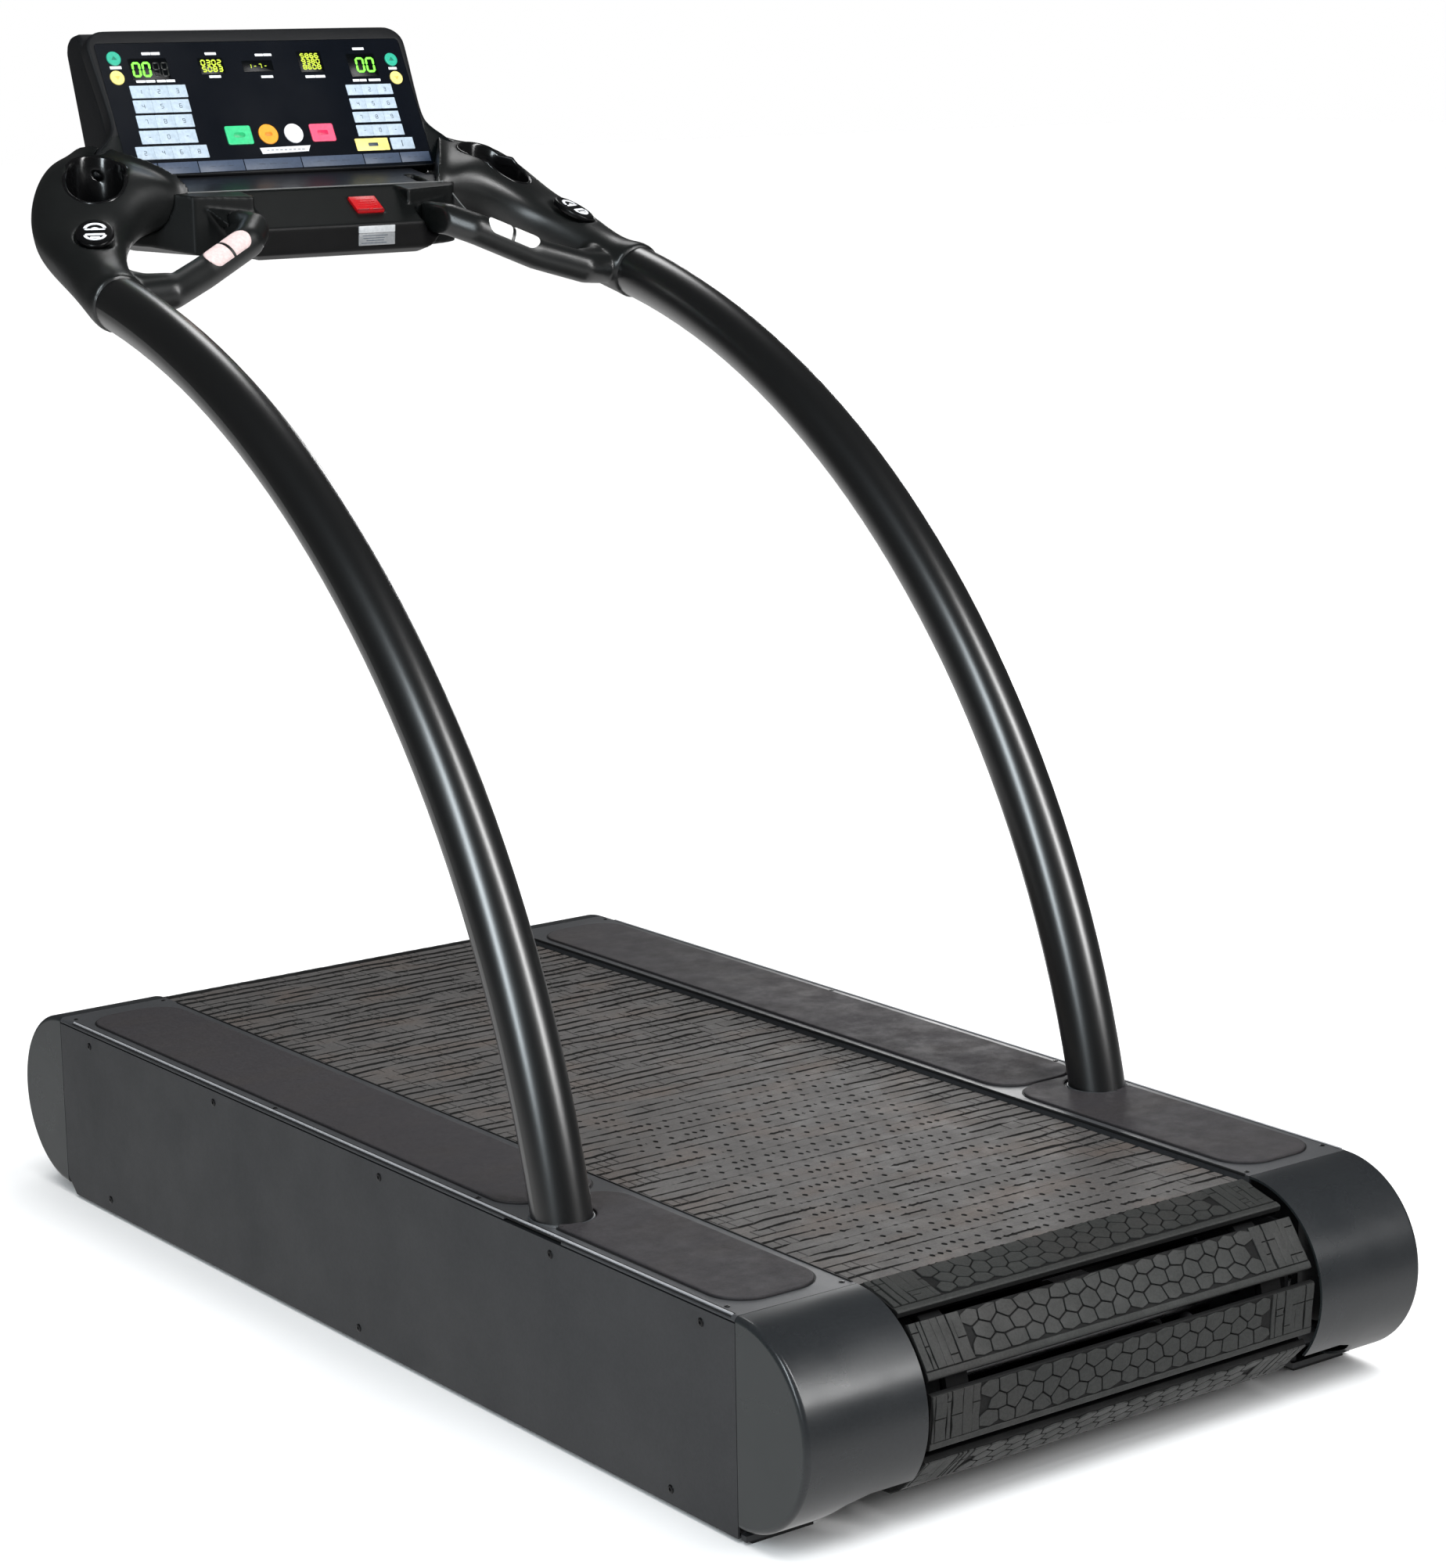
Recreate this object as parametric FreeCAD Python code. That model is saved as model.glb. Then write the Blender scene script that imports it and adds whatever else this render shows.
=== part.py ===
import FreeCAD, Part
import math
import os

# Motorised slat-belt treadmill. Working frame while modelling: X across the
# belt (user's right), Y along the belt towards the console with 0 at the rear
# axle, Z up with 0 at the floor. Every solid is moved by -YC along Y when it
# is written, so the origin is the bottom centre of the whole machine.

V = FreeCAD.Vector
os.makedirs("parts", exist_ok=True)

# ---- driving dimensions, millimetres ------------------------------------
YC = 822.0            # rear axle to the middle of the overall length
AXLE_Z = 132.0        # height of both belt axles
AXLE_DIST = 1524.0    # rear axle to front axle (24 slats)
SLATS = 57
PITCH = 63.5          # slat pitch
WHEEL_SLATS = 9       # slats round a full wheel turn
SLAT_HALF = 280.0     # half of the belt width
SLAT_PHASE = 14.5     # degrees a slat stands past the top of the rear wheel
R_TREAD, R_FLANGE, R_BELT_OUT, R_BELT_IN = 112.0, 102.0, 96.5, 88.0
R_PULLEY = 87.7
PAD_W, BAR_W = 62.9, 55.0
BODY_HALF = 448.5     # half of the deck width
CAP_R = 117.0         # radius of the rounded deck ends
CAP_IN = 288.0        # inner edge of the covers and caps
DECK_Z = 249.0
TUBE_X, TUBE_R, TUBE_WALL = 402.5, 35.0, 3.0
ARC_Y, ARC_Z, ARC_R = 1629.0, -26.0, 1276.0   # handrail centreline circle
FOOT_Y, FOOT_Z = 14.0, 30.0                   # incline pivot
LIFT_Y, LIFT_Z, LIFT_L = 1150.0, 75.0, 330.0  # lift arm pivot and length
WHEEL_R = 30.0
SCR_Y, SCR_Z, SCR_TILT = 1607.4, 1378.0, 26.79  # console face origin, tilt
BACK_Y = 1761.0       # rear wall of the console head

ct, st = math.cos(math.radians(SCR_TILT)), math.sin(math.radians(SCR_TILT))
parts = {}


def box(x0, x1, y0, y1, z0, z1):
    return Part.makeBox(x1 - x0, y1 - y0, z1 - z0, V(x0, y0, z0))


def cylx(x0, x1, y, z, r):
    return Part.makeCylinder(r, x1 - x0, V(x0, y, z), V(1, 0, 0))


def cyl(p, q, r):
    d = q.sub(p)
    return Part.makeCylinder(r, d.Length, p, d)


def poly_x(pts, x0, x1):
    """Closed profile of (y, z) points pushed along X."""
    w = Part.makePolygon([V(x0, y, z) for y, z in pts] + [V(x0, *pts[0])])
    return Part.Face(w).extrude(V(x1 - x0, 0, 0))


def poly_y(pts, y0, y1):
    """Closed profile of (x, z) points pushed along Y."""
    w = Part.makePolygon([V(x, y0, z) for x, z in pts] + [V(pts[0][0], y0, pts[0][1])])
    return Part.Face(w).extrude(V(0, y1 - y0, 0))


def poly_z(pts, z0, z1):
    """Closed profile of (x, y) points pushed up."""
    w = Part.makePolygon([V(x, y, z0) for x, y in pts] + [V(pts[0][0], pts[0][1], z0)])
    return Part.Face(w).extrude(V(0, 0, z1 - z0))


def mirror(s):
    return s.mirror(V(0, 0, 0), V(1, 0, 0))


def both(s):
    return Part.Compound([s, mirror(s)])


def add(name, shape):
    s = shape.copy()
    s.translate(V(0, -YC, 0))
    parts[name] = s


def single(s):
    """The one solid of a boolean result."""
    s = s.removeSplitter()
    sol = sorted(s.Solids, key=lambda k: -k.Volume)
    return sol[0]


# ---- console face frame --------------------------------------------------
def scr(u, v, n=0.0):
    return V(u, SCR_Y + v * st - n * ct, SCR_Z + v * ct + n * st)


SV = V(0, st, ct)
SN = V(0, -ct, st)


def scr_poly(pts, n0, n1):
    w = Part.makePolygon([scr(u, v, n0) for u, v in pts] + [scr(pts[0][0], pts[0][1], n0)])
    return Part.Face(w).extrude(SN * (n1 - n0))


def scr_rect(u, v, w, h, n0, n1, r=0.0):
    """Rounded rectangle on the console face, centre (u, v)."""
    if r <= 0:
        return scr_poly([(u - w / 2, v - h / 2), (u + w / 2, v - h / 2), (u + w / 2, v + h / 2), (u - w / 2, v + h / 2)], n0, n1)
    a = scr_poly([(u - w / 2 + r, v - h / 2), (u + w / 2 - r, v - h / 2), (u + w / 2 - r, v + h / 2), (u - w / 2 + r, v + h / 2)], n0, n1)
    b = scr_poly([(u - w / 2, v - h / 2 + r), (u + w / 2, v - h / 2 + r), (u + w / 2, v + h / 2 - r), (u - w / 2, v + h / 2 - r)], n0, n1)
    s = a.fuse(b)
    for i in (-1, 1):
        for j in (-1, 1):
            s = s.fuse(Part.makeCylinder(r, n1 - n0, scr(u + i * (w / 2 - r), v + j * (h / 2 - r), n0), SN))
    return s.removeSplitter()


def scr_disc(u, v, r, n0, n1):
    return Part.makeCylinder(r, n1 - n0, scr(u, v, n0), SN)


# ==========================================================================
# Rear foot assembly: stands on the floor, carries the incline pivot
# ==========================================================================
foot = box(352, 446, -10, -1, 4, 10.5)
foot = foot.fuse(box(352, 439, -1, 60, 4, 10.5))
for xa, xb in ((352, 362), (402, 412)):
    lug = poly_x([(-6, 10.5), (36, 10.5), (30, 36), (24, 43), (4, 43), (-2, 36)], xa, xb)
    foot = foot.fuse(lug)
foot = foot.cut(cylx(340, 420, FOOT_Y, FOOT_Z, 8.0))
strap = box(-352, 352, 12, 52, 4, 10.5)
base = foot.fuse(mirror(foot)).fuse(strap)
add("rear_foot_base", single(base))
pad = box(356, 437, -8, 58, 0, 4)
add("rear_foot_pads", both(pad))
pin = cylx(348, 416, FOOT_Y, FOOT_Z, 8.0).fuse(cylx(416, 420, FOOT_Y, FOOT_Z, 11.0))
add("rear_pivot_pins", both(single(pin)))

# ==========================================================================
# Main frame
# ==========================================================================
# side rail: pressed channel with outriggers that carry covers and panels
rail = box(296, 301, -50, 1574, 60, 204).fuse(box(296, 301, 60, 1464, 56, 222))
rail = rail.fuse(box(301, 328, 60, 1464, 218, 222)).fuse(box(301, 326, 60, 1090, 56, 60))
for yy, z0 in ((70, 14), (300, 56), (470, 56), (760, 56), (1060, 56), (1300, 112), (1458, 112)):
    o = box(301, 440, yy, yy + 4, z0, 238)
    if yy == 70:
        o = o.fuse(box(301, 326, -30, 74, 60, 64))
    rail = rail.fuse(o)
# pivot tongue hanging between the foot lugs
tongue = poly_x([(-2, 26), (6, 18), (22, 16), (74, 30), (74, 120), (66, 120), (66, 46), (6, 46), (-2, 38)], 366, 398)
tongue = tongue.cut(cylx(360, 402, FOOT_Y, FOOT_Z, 8.05))
rail = rail.fuse(tongue)
# bearing bores, lift tube bore
rail = rail.cut(cylx(290, 310, 0, AXLE_Z, 30)).cut(cylx(290, 310, AXLE_DIST, AXLE_Z, 30))
rail = rail.fuse(cylx(301, 331, LIFT_Y, LIFT_Z, 26))
rail = rail.cut(cylx(290, 340, LIFT_Y, LIFT_Z, 16.06))
# clearance round the handrail socket
rail = rail.cut(box(350, 455, 318, 432, 40, 250))
rail_r = single(rail)
add("side_rail_right", rail_r)
add("side_rail_left", mirror(rail_r))

cm = []
for yy in (180, 560, 860, 1210):
    t = box(-296, 296, yy, yy + 50, 112, 152).cut(box(-296, 296, yy + 3, yy + 47, 115, 149))
    cm.append(t)
add("cross_members", Part.Compound(cm))

# upper-run support: two bars with the bolts that carry the guide rollers
rr = []
gr = []
for sx in (-1, 1):
    bar = box(228, 234, 140, 1400, 152, 214)
    for i in range(15):
        yy = 158 + i * 87.5
        bar = bar.fuse(cylx(209, 228, yy, 203, 5.0)).fuse(cylx(209, 212, yy, 203, 8.0))
        w = cylx(212.5, 226.5, yy, 203, 16.9).cut(cylx(212, 227, yy, 203, 5.05))
        gr.append(w if sx > 0 else mirror(w))
    bar = single(bar)
    rr.append(bar if sx > 0 else mirror(bar))
add("roller_rails", Part.Compound(rr))
add("guide_rollers", Part.Compound(gr))


# ---- slat belt -----------------------------------------------------------
def stadium(r, x0, x1):
    a = cylx(x0, x1, 0, AXLE_Z, r).fuse(cylx(x0, x1, AXLE_DIST, AXLE_Z, r))
    return a.fuse(box(x0, x1, 0, AXLE_DIST, AXLE_Z - r, AXLE_Z + r)).removeSplitter()


cord = single(stadium(R_BELT_OUT, 215, 245).cut(stadium(R_BELT_IN, 210, 250)))
add("belt_cords", both(cord))


def slat_place(i):
    """(y, z, angle) of slat i; angle turns a slat drawn on top of the belt."""
    top = AXLE_DIST
    half = 4.5 * PITCH
    s = (i * PITCH - SLAT_PHASE / 40.0 * PITCH) % (2 * top + 2 * half)
    # s runs along the top from the rear axle forward, round the front, back
    if s <= top:
        return s, 0.0, 0.0, 0
    s -= top
    if s <= half:
        return AXLE_DIST, 0.0, -180.0 * s / half, 1
    s -= half
    if s <= top:
        return AXLE_DIST - s, 0.0, -180.0, 2
    s -= top
    return 0.0, 0.0, -180.0 - 180.0 * s / half, 3


pads, bars = [], []
for i in range(SLATS):
    yy, _, ang, _k = slat_place(i)
    p = box(-SLAT_HALF, SLAT_HALF, -PAD_W / 2, PAD_W / 2, R_FLANGE, R_TREAD)
    # the pad's edges are bevelled so that neighbours clear on the wheels
    b = box(-SLAT_HALF + 2, SLAT_HALF - 2, -BAR_W / 2, BAR_W / 2, R_BELT_OUT, R_FLANGE)
    b = b.fuse(box(-204, 204, -3, 3, 80, R_BELT_OUT)).removeSplitter()
    for s, out in ((p, pads), (b, bars)):
        s = s.copy()
        s.rotate(V(0, 0, 0), V(1, 0, 0), ang)
        s.translate(V(0, yy, AXLE_Z))
        out.append(s.Solids[0])
add("slat_treads", Part.Compound(pads))
add("slat_bars", Part.Compound(bars))


# ---- axles ---------------------------------------------------------------
def pulley(y):
    p = cylx(213, 247, y, AXLE_Z, R_PULLEY).cut(cylx(210, 250, y, AXLE_Z, 20.0))
    for k in range(8):
        a = math.radians(45 * k + 22.5)
        p = p.cut(cylx(210, 250, y + 54 * math.cos(a), AXLE_Z + 54 * math.sin(a), 15))
    return single(p)


rear_sh = cylx(-329, 329, 0, AXLE_Z, 17.0).fuse(cylx(-285, 285, 0, AXLE_Z, 20.0))
add("rear_shaft", single(rear_sh))
add("rear_pulleys", both(pulley(0)))
front_sh = cylx(-329, 329, AXLE_DIST, AXLE_Z, 17.0).fuse(cylx(-285, 285, AXLE_DIST, AXLE_Z, 20.0))
add("front_shaft", single(front_sh))
driven = cylx(253, 277, AXLE_DIST, AXLE_Z, 60).cut(cylx(250, 280, AXLE_DIST, AXLE_Z, 20))
for k in range(4):
    a = math.radians(90 * k + 45)
    driven = driven.cut(cylx(250, 280, AXLE_DIST + 38 * math.cos(a), AXLE_Z + 38 * math.sin(a), 11))
fp = pulley(AXLE_DIST)
add("front_pulleys", Part.Compound([fp, mirror(fp), single(driven)]))

bear = []
for y in (0, AXLE_DIST):
    b = cylx(301, 306, y, AXLE_Z, 46).fuse(cylx(301, 326, y, AXLE_Z, 32)).fuse(cylx(297, 301, y, AXLE_Z, 29.5))
    b = b.cut(cylx(290, 340, y, AXLE_Z, 17.05))
    for k in range(4):
        a = math.radians(90 * k + 45)
        b = b.fuse(cylx(306, 311, y + 39 * math.cos(a), AXLE_Z + 39 * math.sin(a), 4.5))
    b = single(b)
    bear += [b, mirror(b)]
add("shaft_bearings", Part.Compound(bear))

# ---- drive motor and its belt -------------------------------------------
MOT_Y = 1345.0
mot = cylx(-70, 196, MOT_Y, AXLE_Z, 60).fuse(cylx(-84, -70, MOT_Y, AXLE_Z, 50)).fuse(cylx(196, 208, MOT_Y, AXLE_Z, 40))
for k in range(8):
    a = math.radians(45 * k + 22.5)
    rib = box(-50, 176, -2, 2, 56, 64)
    rib.rotate(V(0, 0, 0), V(1, 0, 0), 45 * k + 22.5)
    rib.translate(V(0, MOT_Y, AXLE_Z))
    mot = mot.fuse(rib)
mot = mot.fuse(box(-30, 160, 1260, MOT_Y, 114, 150))
mot = mot.cut(cylx(150, 230, MOT_Y, AXLE_Z, 12.06))
add("drive_motor", single(mot))
mp = cylx(155, 280, MOT_Y, AXLE_Z, 12.0).fuse(cylx(253, 277, MOT_Y, AXLE_Z, 25.0))
add("motor_pulley", single(mp))


def belt_loop(r1, r2, x0, x1):
    """Loop round the driven pulley (r1) and the motor pulley (r2)."""
    d = AXLE_DIST - MOT_Y
    a = math.acos((r1 - r2) / d)
    pts = []
    for r, c, t in ((r1, AXLE_DIST, a), (r2, MOT_Y, a)):
        pts.append((c - r * math.cos(t), AXLE_Z + r * math.sin(t)))
    quad = poly_x([pts[0], (pts[0][0], 2 * AXLE_Z - pts[0][1]), (pts[1][0], 2 * AXLE_Z - pts[1][1]), pts[1]], x0, x1)
    return cylx(x0, x1, AXLE_DIST, AXLE_Z, r1).fuse(cylx(x0, x1, MOT_Y, AXLE_Z, r2)).fuse(quad).removeSplitter()


add("drive_belt", single(belt_loop(63.3, 28.3, 255, 275).cut(belt_loop(60.3, 25.3, 250, 280))))

# ---- lift ----------------------------------------------------------------
gb = box(-62, 2, 1104, 1196, 57, 142).cut(cylx(-80, 20, LIFT_Y, LIFT_Z, 16.06))
gb = gb.fuse(cylx(2, 140, 1150, 150, 38)).fuse(box(-62, 2, 1100, 1196, 112, 176)).fuse(box(-62, 2, 1190, 1210, 114, 142))
gb = gb.cut(cylx(-80, 145, LIFT_Y, LIFT_Z, 16.06))
add("lift_gearmotor", single(gb))

a0 = math.asin((LIFT_Z - WHEEL_R) / LIFT_L)
WH_Y = LIFT_Y + LIFT_L * math.cos(a0)


def lift_plate(x0, x1):
    ca, sa = math.cos(a0), math.sin(a0)
    nx, nz = sa, ca
    h0, h1 = 24.0, 15.0
    pts = [(LIFT_Y + nx * h0, LIFT_Z + nz * h0), (WH_Y + nx * h1, WHEEL_R + nz * h1), (WH_Y - nx * h1, WHEEL_R - nz * h1), (LIFT_Y - nx * h0, LIFT_Z - nz * h0)]
    s = poly_x(pts, x0, x1).fuse(cylx(x0, x1, LIFT_Y, LIFT_Z, 24)).fuse(cylx(x0, x1, WH_Y, WHEEL_R, 15))
    return s.cut(cylx(x0 - 1, x1 + 1, WH_Y, WHEEL_R, 8.0))


la = cylx(-389, 389, LIFT_Y, LIFT_Z, 16.0)
for xa, xb in ((345, 353), (380, 388)):
    pl = lift_plate(xa, xb)
    la = la.fuse(pl).fuse(mirror(pl))
br = box(353, 380, 1230, 1250, 52, 76)
la = la.fuse(br).fuse(mirror(br))
add("lift_arm", single(la))
ax = cylx(343, 390, WH_Y, WHEEL_R, 8.0).fuse(cylx(339, 343, WH_Y, WHEEL_R, 11)).fuse(cylx(390, 394, WH_Y, WHEEL_R, 11))
add("lift_axles", both(single(ax)))
wh = cylx(355.5, 377.5, WH_Y, WHEEL_R, WHEEL_R).cut(cylx(350, 380, WH_Y, WHEEL_R, 8.05))
for side in (355.5, 374.5):
    ring = cylx(side, side + 3, WH_Y, WHEEL_R, 22).cut(cylx(side, side + 3, WH_Y, WHEEL_R, 13))
    wh = wh.cut(ring)
wh = single(wh)
add("lift_wheel_right", wh)
add("lift_wheel_left", mirror(wh))

# ---- drive electronics, mains inlet --------------------------------------
cb = box(-130, 130, 612, 858, 66, 106).fuse(box(-130, 130, 612, 640, 106, 110))
for k in range(12):
    cb = cb.fuse(box(-110 + k * 20, -106 + k * 20, 650, 840, 106, 126))
cb = cb.fuse(box(-130, -90, 600, 860, 100, 112)).fuse(box(90, 130, 600, 860, 100, 112))
add("controller_box", single(cb))

# ==========================================================================
# Deck covers, side panels, rounded ends
# ==========================================================================
pan = box(446, 448.5, 1, 1523, 5, 241.0)
pan = pan.fuse(box(441, 446, 1, 1523, 238.0, 241.0)).fuse(box(441, 446, 1, 1523, 5, 8))
pan = pan.cut(poly_x([(1500, 4), (1530, 4), (1530, 34)], 440, 450))
SCREWS = [(60, 226), (340, 226), (700, 226), (1100, 226), (1440, 226), (120, 22), (760, 22), (1400, 22)]
scw = []
for yy, zz in SCREWS:
    pan = pan.cut(cylx(445, 450, yy, zz, 3.2))
    s = cylx(440.2, 448.5, yy, zz, 3.1).fuse(cylx(448.5, 449.6, yy, zz, 5.2))
    scw.append(single(s))
pan = single(pan)
add("side_panel_right", pan)
add("side_panel_left", mirror(pan))
add("panel_screws", Part.Compound(scw + [mirror(s) for s in scw]))

# top cover: rounded outer edge, turned-down inner edge
R = 6.0
e1 = Part.makeLine(V(288, 1, DECK_Z), V(BODY_HALF - R, 1, DECK_Z))
c = V(BODY_HALF - R, 1, DECK_Z - R)
q = math.sqrt(0.5)
a1 = Part.Arc(V(c.x, 1, c.z + R), V(c.x + R * q, 1, c.z + R * q), V(c.x + R, 1, c.z)).toShape()
e2 = Part.makeLine(V(BODY_HALF, 1, c.z), V(BODY_HALF - 3, 1, c.z))
a2 = Part.Arc(V(c.x + R - 3, 1, c.z), V(c.x + (R - 3) * q, 1, c.z + (R - 3) * q), V(c.x, 1, c.z + R - 3)).toShape()
e3 = Part.makeLine(V(c.x, 1, DECK_Z - 3), V(291, 1, DECK_Z - 3))
e4 = Part.makeLine(V(291, 1, DECK_Z - 3), V(291, 1, 226))
e5 = Part.makeLine(V(291, 1, 226), V(288, 1, 226))
e6 = Part.makeLine(V(288, 1, 226), V(288, 1, DECK_Z))
cov = Part.Face(Part.Wire([e1, a1, e2, a2, e3, e4, e5, e6])).extrude(V(0, 1522, 0))
for yy in (70, 300, 470, 760, 1060, 1300, 1458):   # ribs resting on the outriggers
    cov = cov.fuse(box(300, 438, yy - 6, yy + 10, 238, 246))
ty = ARC_Y - math.sqrt(ARC_R ** 2 - (246 - ARC_Z) ** 2)
cov = cov.cut(Part.makeCylinder(37.2, 60, V(TUBE_X, ty, 220), V(0, 0, 1)))
cov = cov.cut(box(352, 452, 318, 432, 200, 245.9))
cov = single(cov)
add("deck_cover_right", cov)
add("deck_cover_left", mirror(cov))


def stadium_mat(x0, x1, y0, y1, r):
    s = box(x0, x1, y0 + r, y1 - r, DECK_Z, DECK_Z + 2.5).fuse(box(x0 + r, x1 - r, y0, y1, DECK_Z, DECK_Z + 2.5))
    for xx in (x0 + r, x1 - r):
        for yy in (y0 + r, y1 - r):
            s = s.fuse(Part.makeCylinder(r, 2.5, V(xx, yy, DECK_Z), V(0, 0, 1)))
    return s.removeSplitter()


hole = Part.makeCylinder(40.0, 20, V(TUBE_X, ty + 2, DECK_Z - 5), V(0, 0, 1))
m1 = stadium_mat(302, 430, 440, 1486, 44)
m2 = stadium_mat(302, 430, 26, 434, 44).cut(hole)
m2 = m2.cut(box(TUBE_X, 440, ty - 26, 436, DECK_Z - 5, DECK_Z + 10))
m1, m2 = single(m1), single(m2)
add("step_mats", Part.Compound([m1, m2, mirror(m1), mirror(m2)]))


def end_cap(front):
    """Rounded end shell: half cylinder with a closed outer side face."""
    r0, w, f = CAP_R, 3.0, 6.5
    y = 0.0
    pts = [V(CAP_IN, 0, AXLE_Z + r0 - w), V(CAP_IN, 0, AXLE_Z + r0), V(BODY_HALF - f, 0, AXLE_Z + r0)]
    l1 = Part.makeLine(pts[0], pts[1])
    l2 = Part.makeLine(pts[1], pts[2])
    qf = f * math.sqrt(0.5)
    ar = Part.Arc(pts[2], V(BODY_HALF - f + qf, 0, AXLE_Z + r0 - f + qf), V(BODY_HALF, 0, AXLE_Z + r0 - f)).toShape()
    l3 = Part.makeLine(V(BODY_HALF, 0, AXLE_Z + r0 - f), V(BODY_HALF, 0, AXLE_Z))
    l4 = Part.makeLine(V(BODY_HALF, 0, AXLE_Z), V(BODY_HALF - w, 0, AXLE_Z))
    l5 = Part.makeLine(V(BODY_HALF - w, 0, AXLE_Z), V(BODY_HALF - w, 0, AXLE_Z + r0 - w))
    l6 = Part.makeLine(V(BODY_HALF - w, 0, AXLE_Z + r0 - w), pts[0])
    face = Part.Face(Part.Wire([l1, l2, ar, l3, l4, l5, l6]))
    sh = face.revolve(V(0, 0, AXLE_Z), V(1, 0, 0), 180)
    # rear caps: lower inner corner left open, slot for the pivot lugs
    if not front:
        sh = sh.cut(poly_y([(280, -10), (392, -10), (392, 30), (372, 50), (345, 58), (280, 58)], -130, 1))
        sh = sh.cut(box(340, 418, -16, 4, 0, 30))
    sh = single(sh)
    if front:
        sh = sh.mirror(V(0, 0, 0), V(0, 1, 0))
        sh.translate(V(0, AXLE_DIST, 0))
    return sh


rc = end_cap(False)
add("rear_cap_right", rc)
add("rear_cap_left", mirror(rc))
fc = end_cap(True)
SW_X, IN_X = 330.0, 396.0
INL_Y = AXLE_DIST + CAP_R
fcr = fc.cut(box(SW_X - 12, SW_X + 12, INL_Y - 20, INL_Y + 5, AXLE_Z - 15, AXLE_Z + 15))
fcr = fcr.cut(box(IN_X - 24, IN_X + 24, INL_Y - 20, INL_Y + 5, AXLE_Z - 15, AXLE_Z + 15))
add("front_cap_right", single(fcr))
add("front_cap_left", mirror(fc))

inl = box(IN_X - 23.8, IN_X + 23.8, INL_Y - 26, INL_Y + 0.6, AXLE_Z - 14.8, AXLE_Z + 14.8)
inl = inl.cut(poly_x([(INL_Y - 18, AXLE_Z - 9), (INL_Y + 3, AXLE_Z - 9), (INL_Y + 3, AXLE_Z + 9), (INL_Y - 18, AXLE_Z + 9)], IN_X - 13, IN_X + 13))
for dx, dz in ((-7, -2), (0, 3), (7, -2)):
    inl = inl.fuse(box(IN_X + dx - 1, IN_X + dx + 1, INL_Y - 19, INL_Y - 4, AXLE_Z + dz - 2, AXLE_Z + dz + 2))
bez = box(SW_X - 11.8, SW_X + 11.8, INL_Y - 26, INL_Y + 0.6, AXLE_Z - 14.8, AXLE_Z + 14.8)
bez = bez.cut(box(SW_X - 8, SW_X + 8, INL_Y - 22, INL_Y + 3, AXLE_Z - 12.5, AXLE_Z + 12.5))
link = box(SW_X + 11.8, IN_X - 23.8, INL_Y - 26, INL_Y - 20, AXLE_Z - 12, AXLE_Z + 12)
add("power_inlet", single(inl.fuse(bez).fuse(link)))
rk = poly_x([(-5, -9.5), (9.5, -10.2), (11.2, 0), (9.5, 10.2), (-5, 9.5)], SW_X - 7.2, SW_X + 7.2)
rk.rotate(V(0, 0, 0), V(1, 0, 0), -7)
rk.translate(V(0, INL_Y - 11, AXLE_Z))
add("power_rocker", rk)


# ==========================================================================
# Handrails: curved tubes in sleeve sockets
# ==========================================================================
def arc_tube(x, r_out, r_in, z0, z1=None, y1=None):
    p0 = math.asin((z0 - ARC_Z) / ARC_R)
    p1 = math.asin((z1 - ARC_Z) / ARC_R) if z1 is not None else math.acos((ARC_Y - y1) / ARC_R)
    axis_p, axis_d = V(0, ARC_Y, ARC_Z), V(-1, 0, 0)
    c = V(x, ARC_Y - ARC_R, ARC_Z)
    outer = Part.Wire([Part.makeCircle(r_out, c, V(0, 0, 1))])
    f = Part.Face(outer)
    if r_in > 0:
        inner = Part.Wire([Part.makeCircle(r_in, c, V(0, 0, 1))])
        f = f.cut(Part.Face(inner)).Faces[0]
    f.rotate(axis_p, axis_d, math.degrees(p0))
    s = f.revolve(axis_p, axis_d, math.degrees(p1 - p0))
    return s.Solids[0] if s.Solids else Part.Solid(s)


TUBE_END_Y = 1358.0
tube = arc_tube(TUBE_X, TUBE_R, TUBE_R - TUBE_WALL, 64.0, y1=TUBE_END_Y)
add("handrail_right", tube)
add("handrail_left", mirror(tube))
sock = arc_tube(TUBE_X, 40.0, TUBE_R, 64.0, z1=228.0)
sock = sock.fuse(box(354, 446, 320, 430, 56, 64))
sock = sock.fuse(box(354, 446, 426, 430, 64, 150)).fuse(box(354, 446, 320, 324, 64, 150))
sock = sock.cut(arc_tube(TUBE_X, TUBE_R, 0, 64.0, z1=245.0))
sock = single(sock)
add("handrail_sockets", both(sock))


# ==========================================================================
# Console arms with cup holders and hand grips
# ==========================================================================
def section(cx, cy, cz, psi, theta, a, b, n, roll=0.0):
    ps, th, ro = math.radians(psi), math.radians(theta), math.radians(roll)
    tx, tyy = -math.sin(ps), math.cos(ps)
    h0 = V(tyy, -tx, 0)                      # outwards
    up0 = V(-tx * math.sin(th), -tyy * math.sin(th), math.cos(th))
    h = h0 * math.cos(ro) + up0 * math.sin(ro)
    up = up0 * math.cos(ro) - h0 * math.sin(ro)
    pts = []
    N = 20
    for k in range(N):
        t = 2 * math.pi * k / N
        cc, ss = math.cos(t), math.sin(t)
        x = a * math.copysign(abs(cc) ** (2.0 / n), cc)
        z = b * math.copysign(abs(ss) ** (2.0 / n), ss)
        pts.append(V(cx, cy, cz) + h * x + up * z)
    bs = Part.BSplineCurve()
    bs.interpolate(pts, PeriodicFlag=True)
    return Part.Wire([bs.toShape()])


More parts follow.
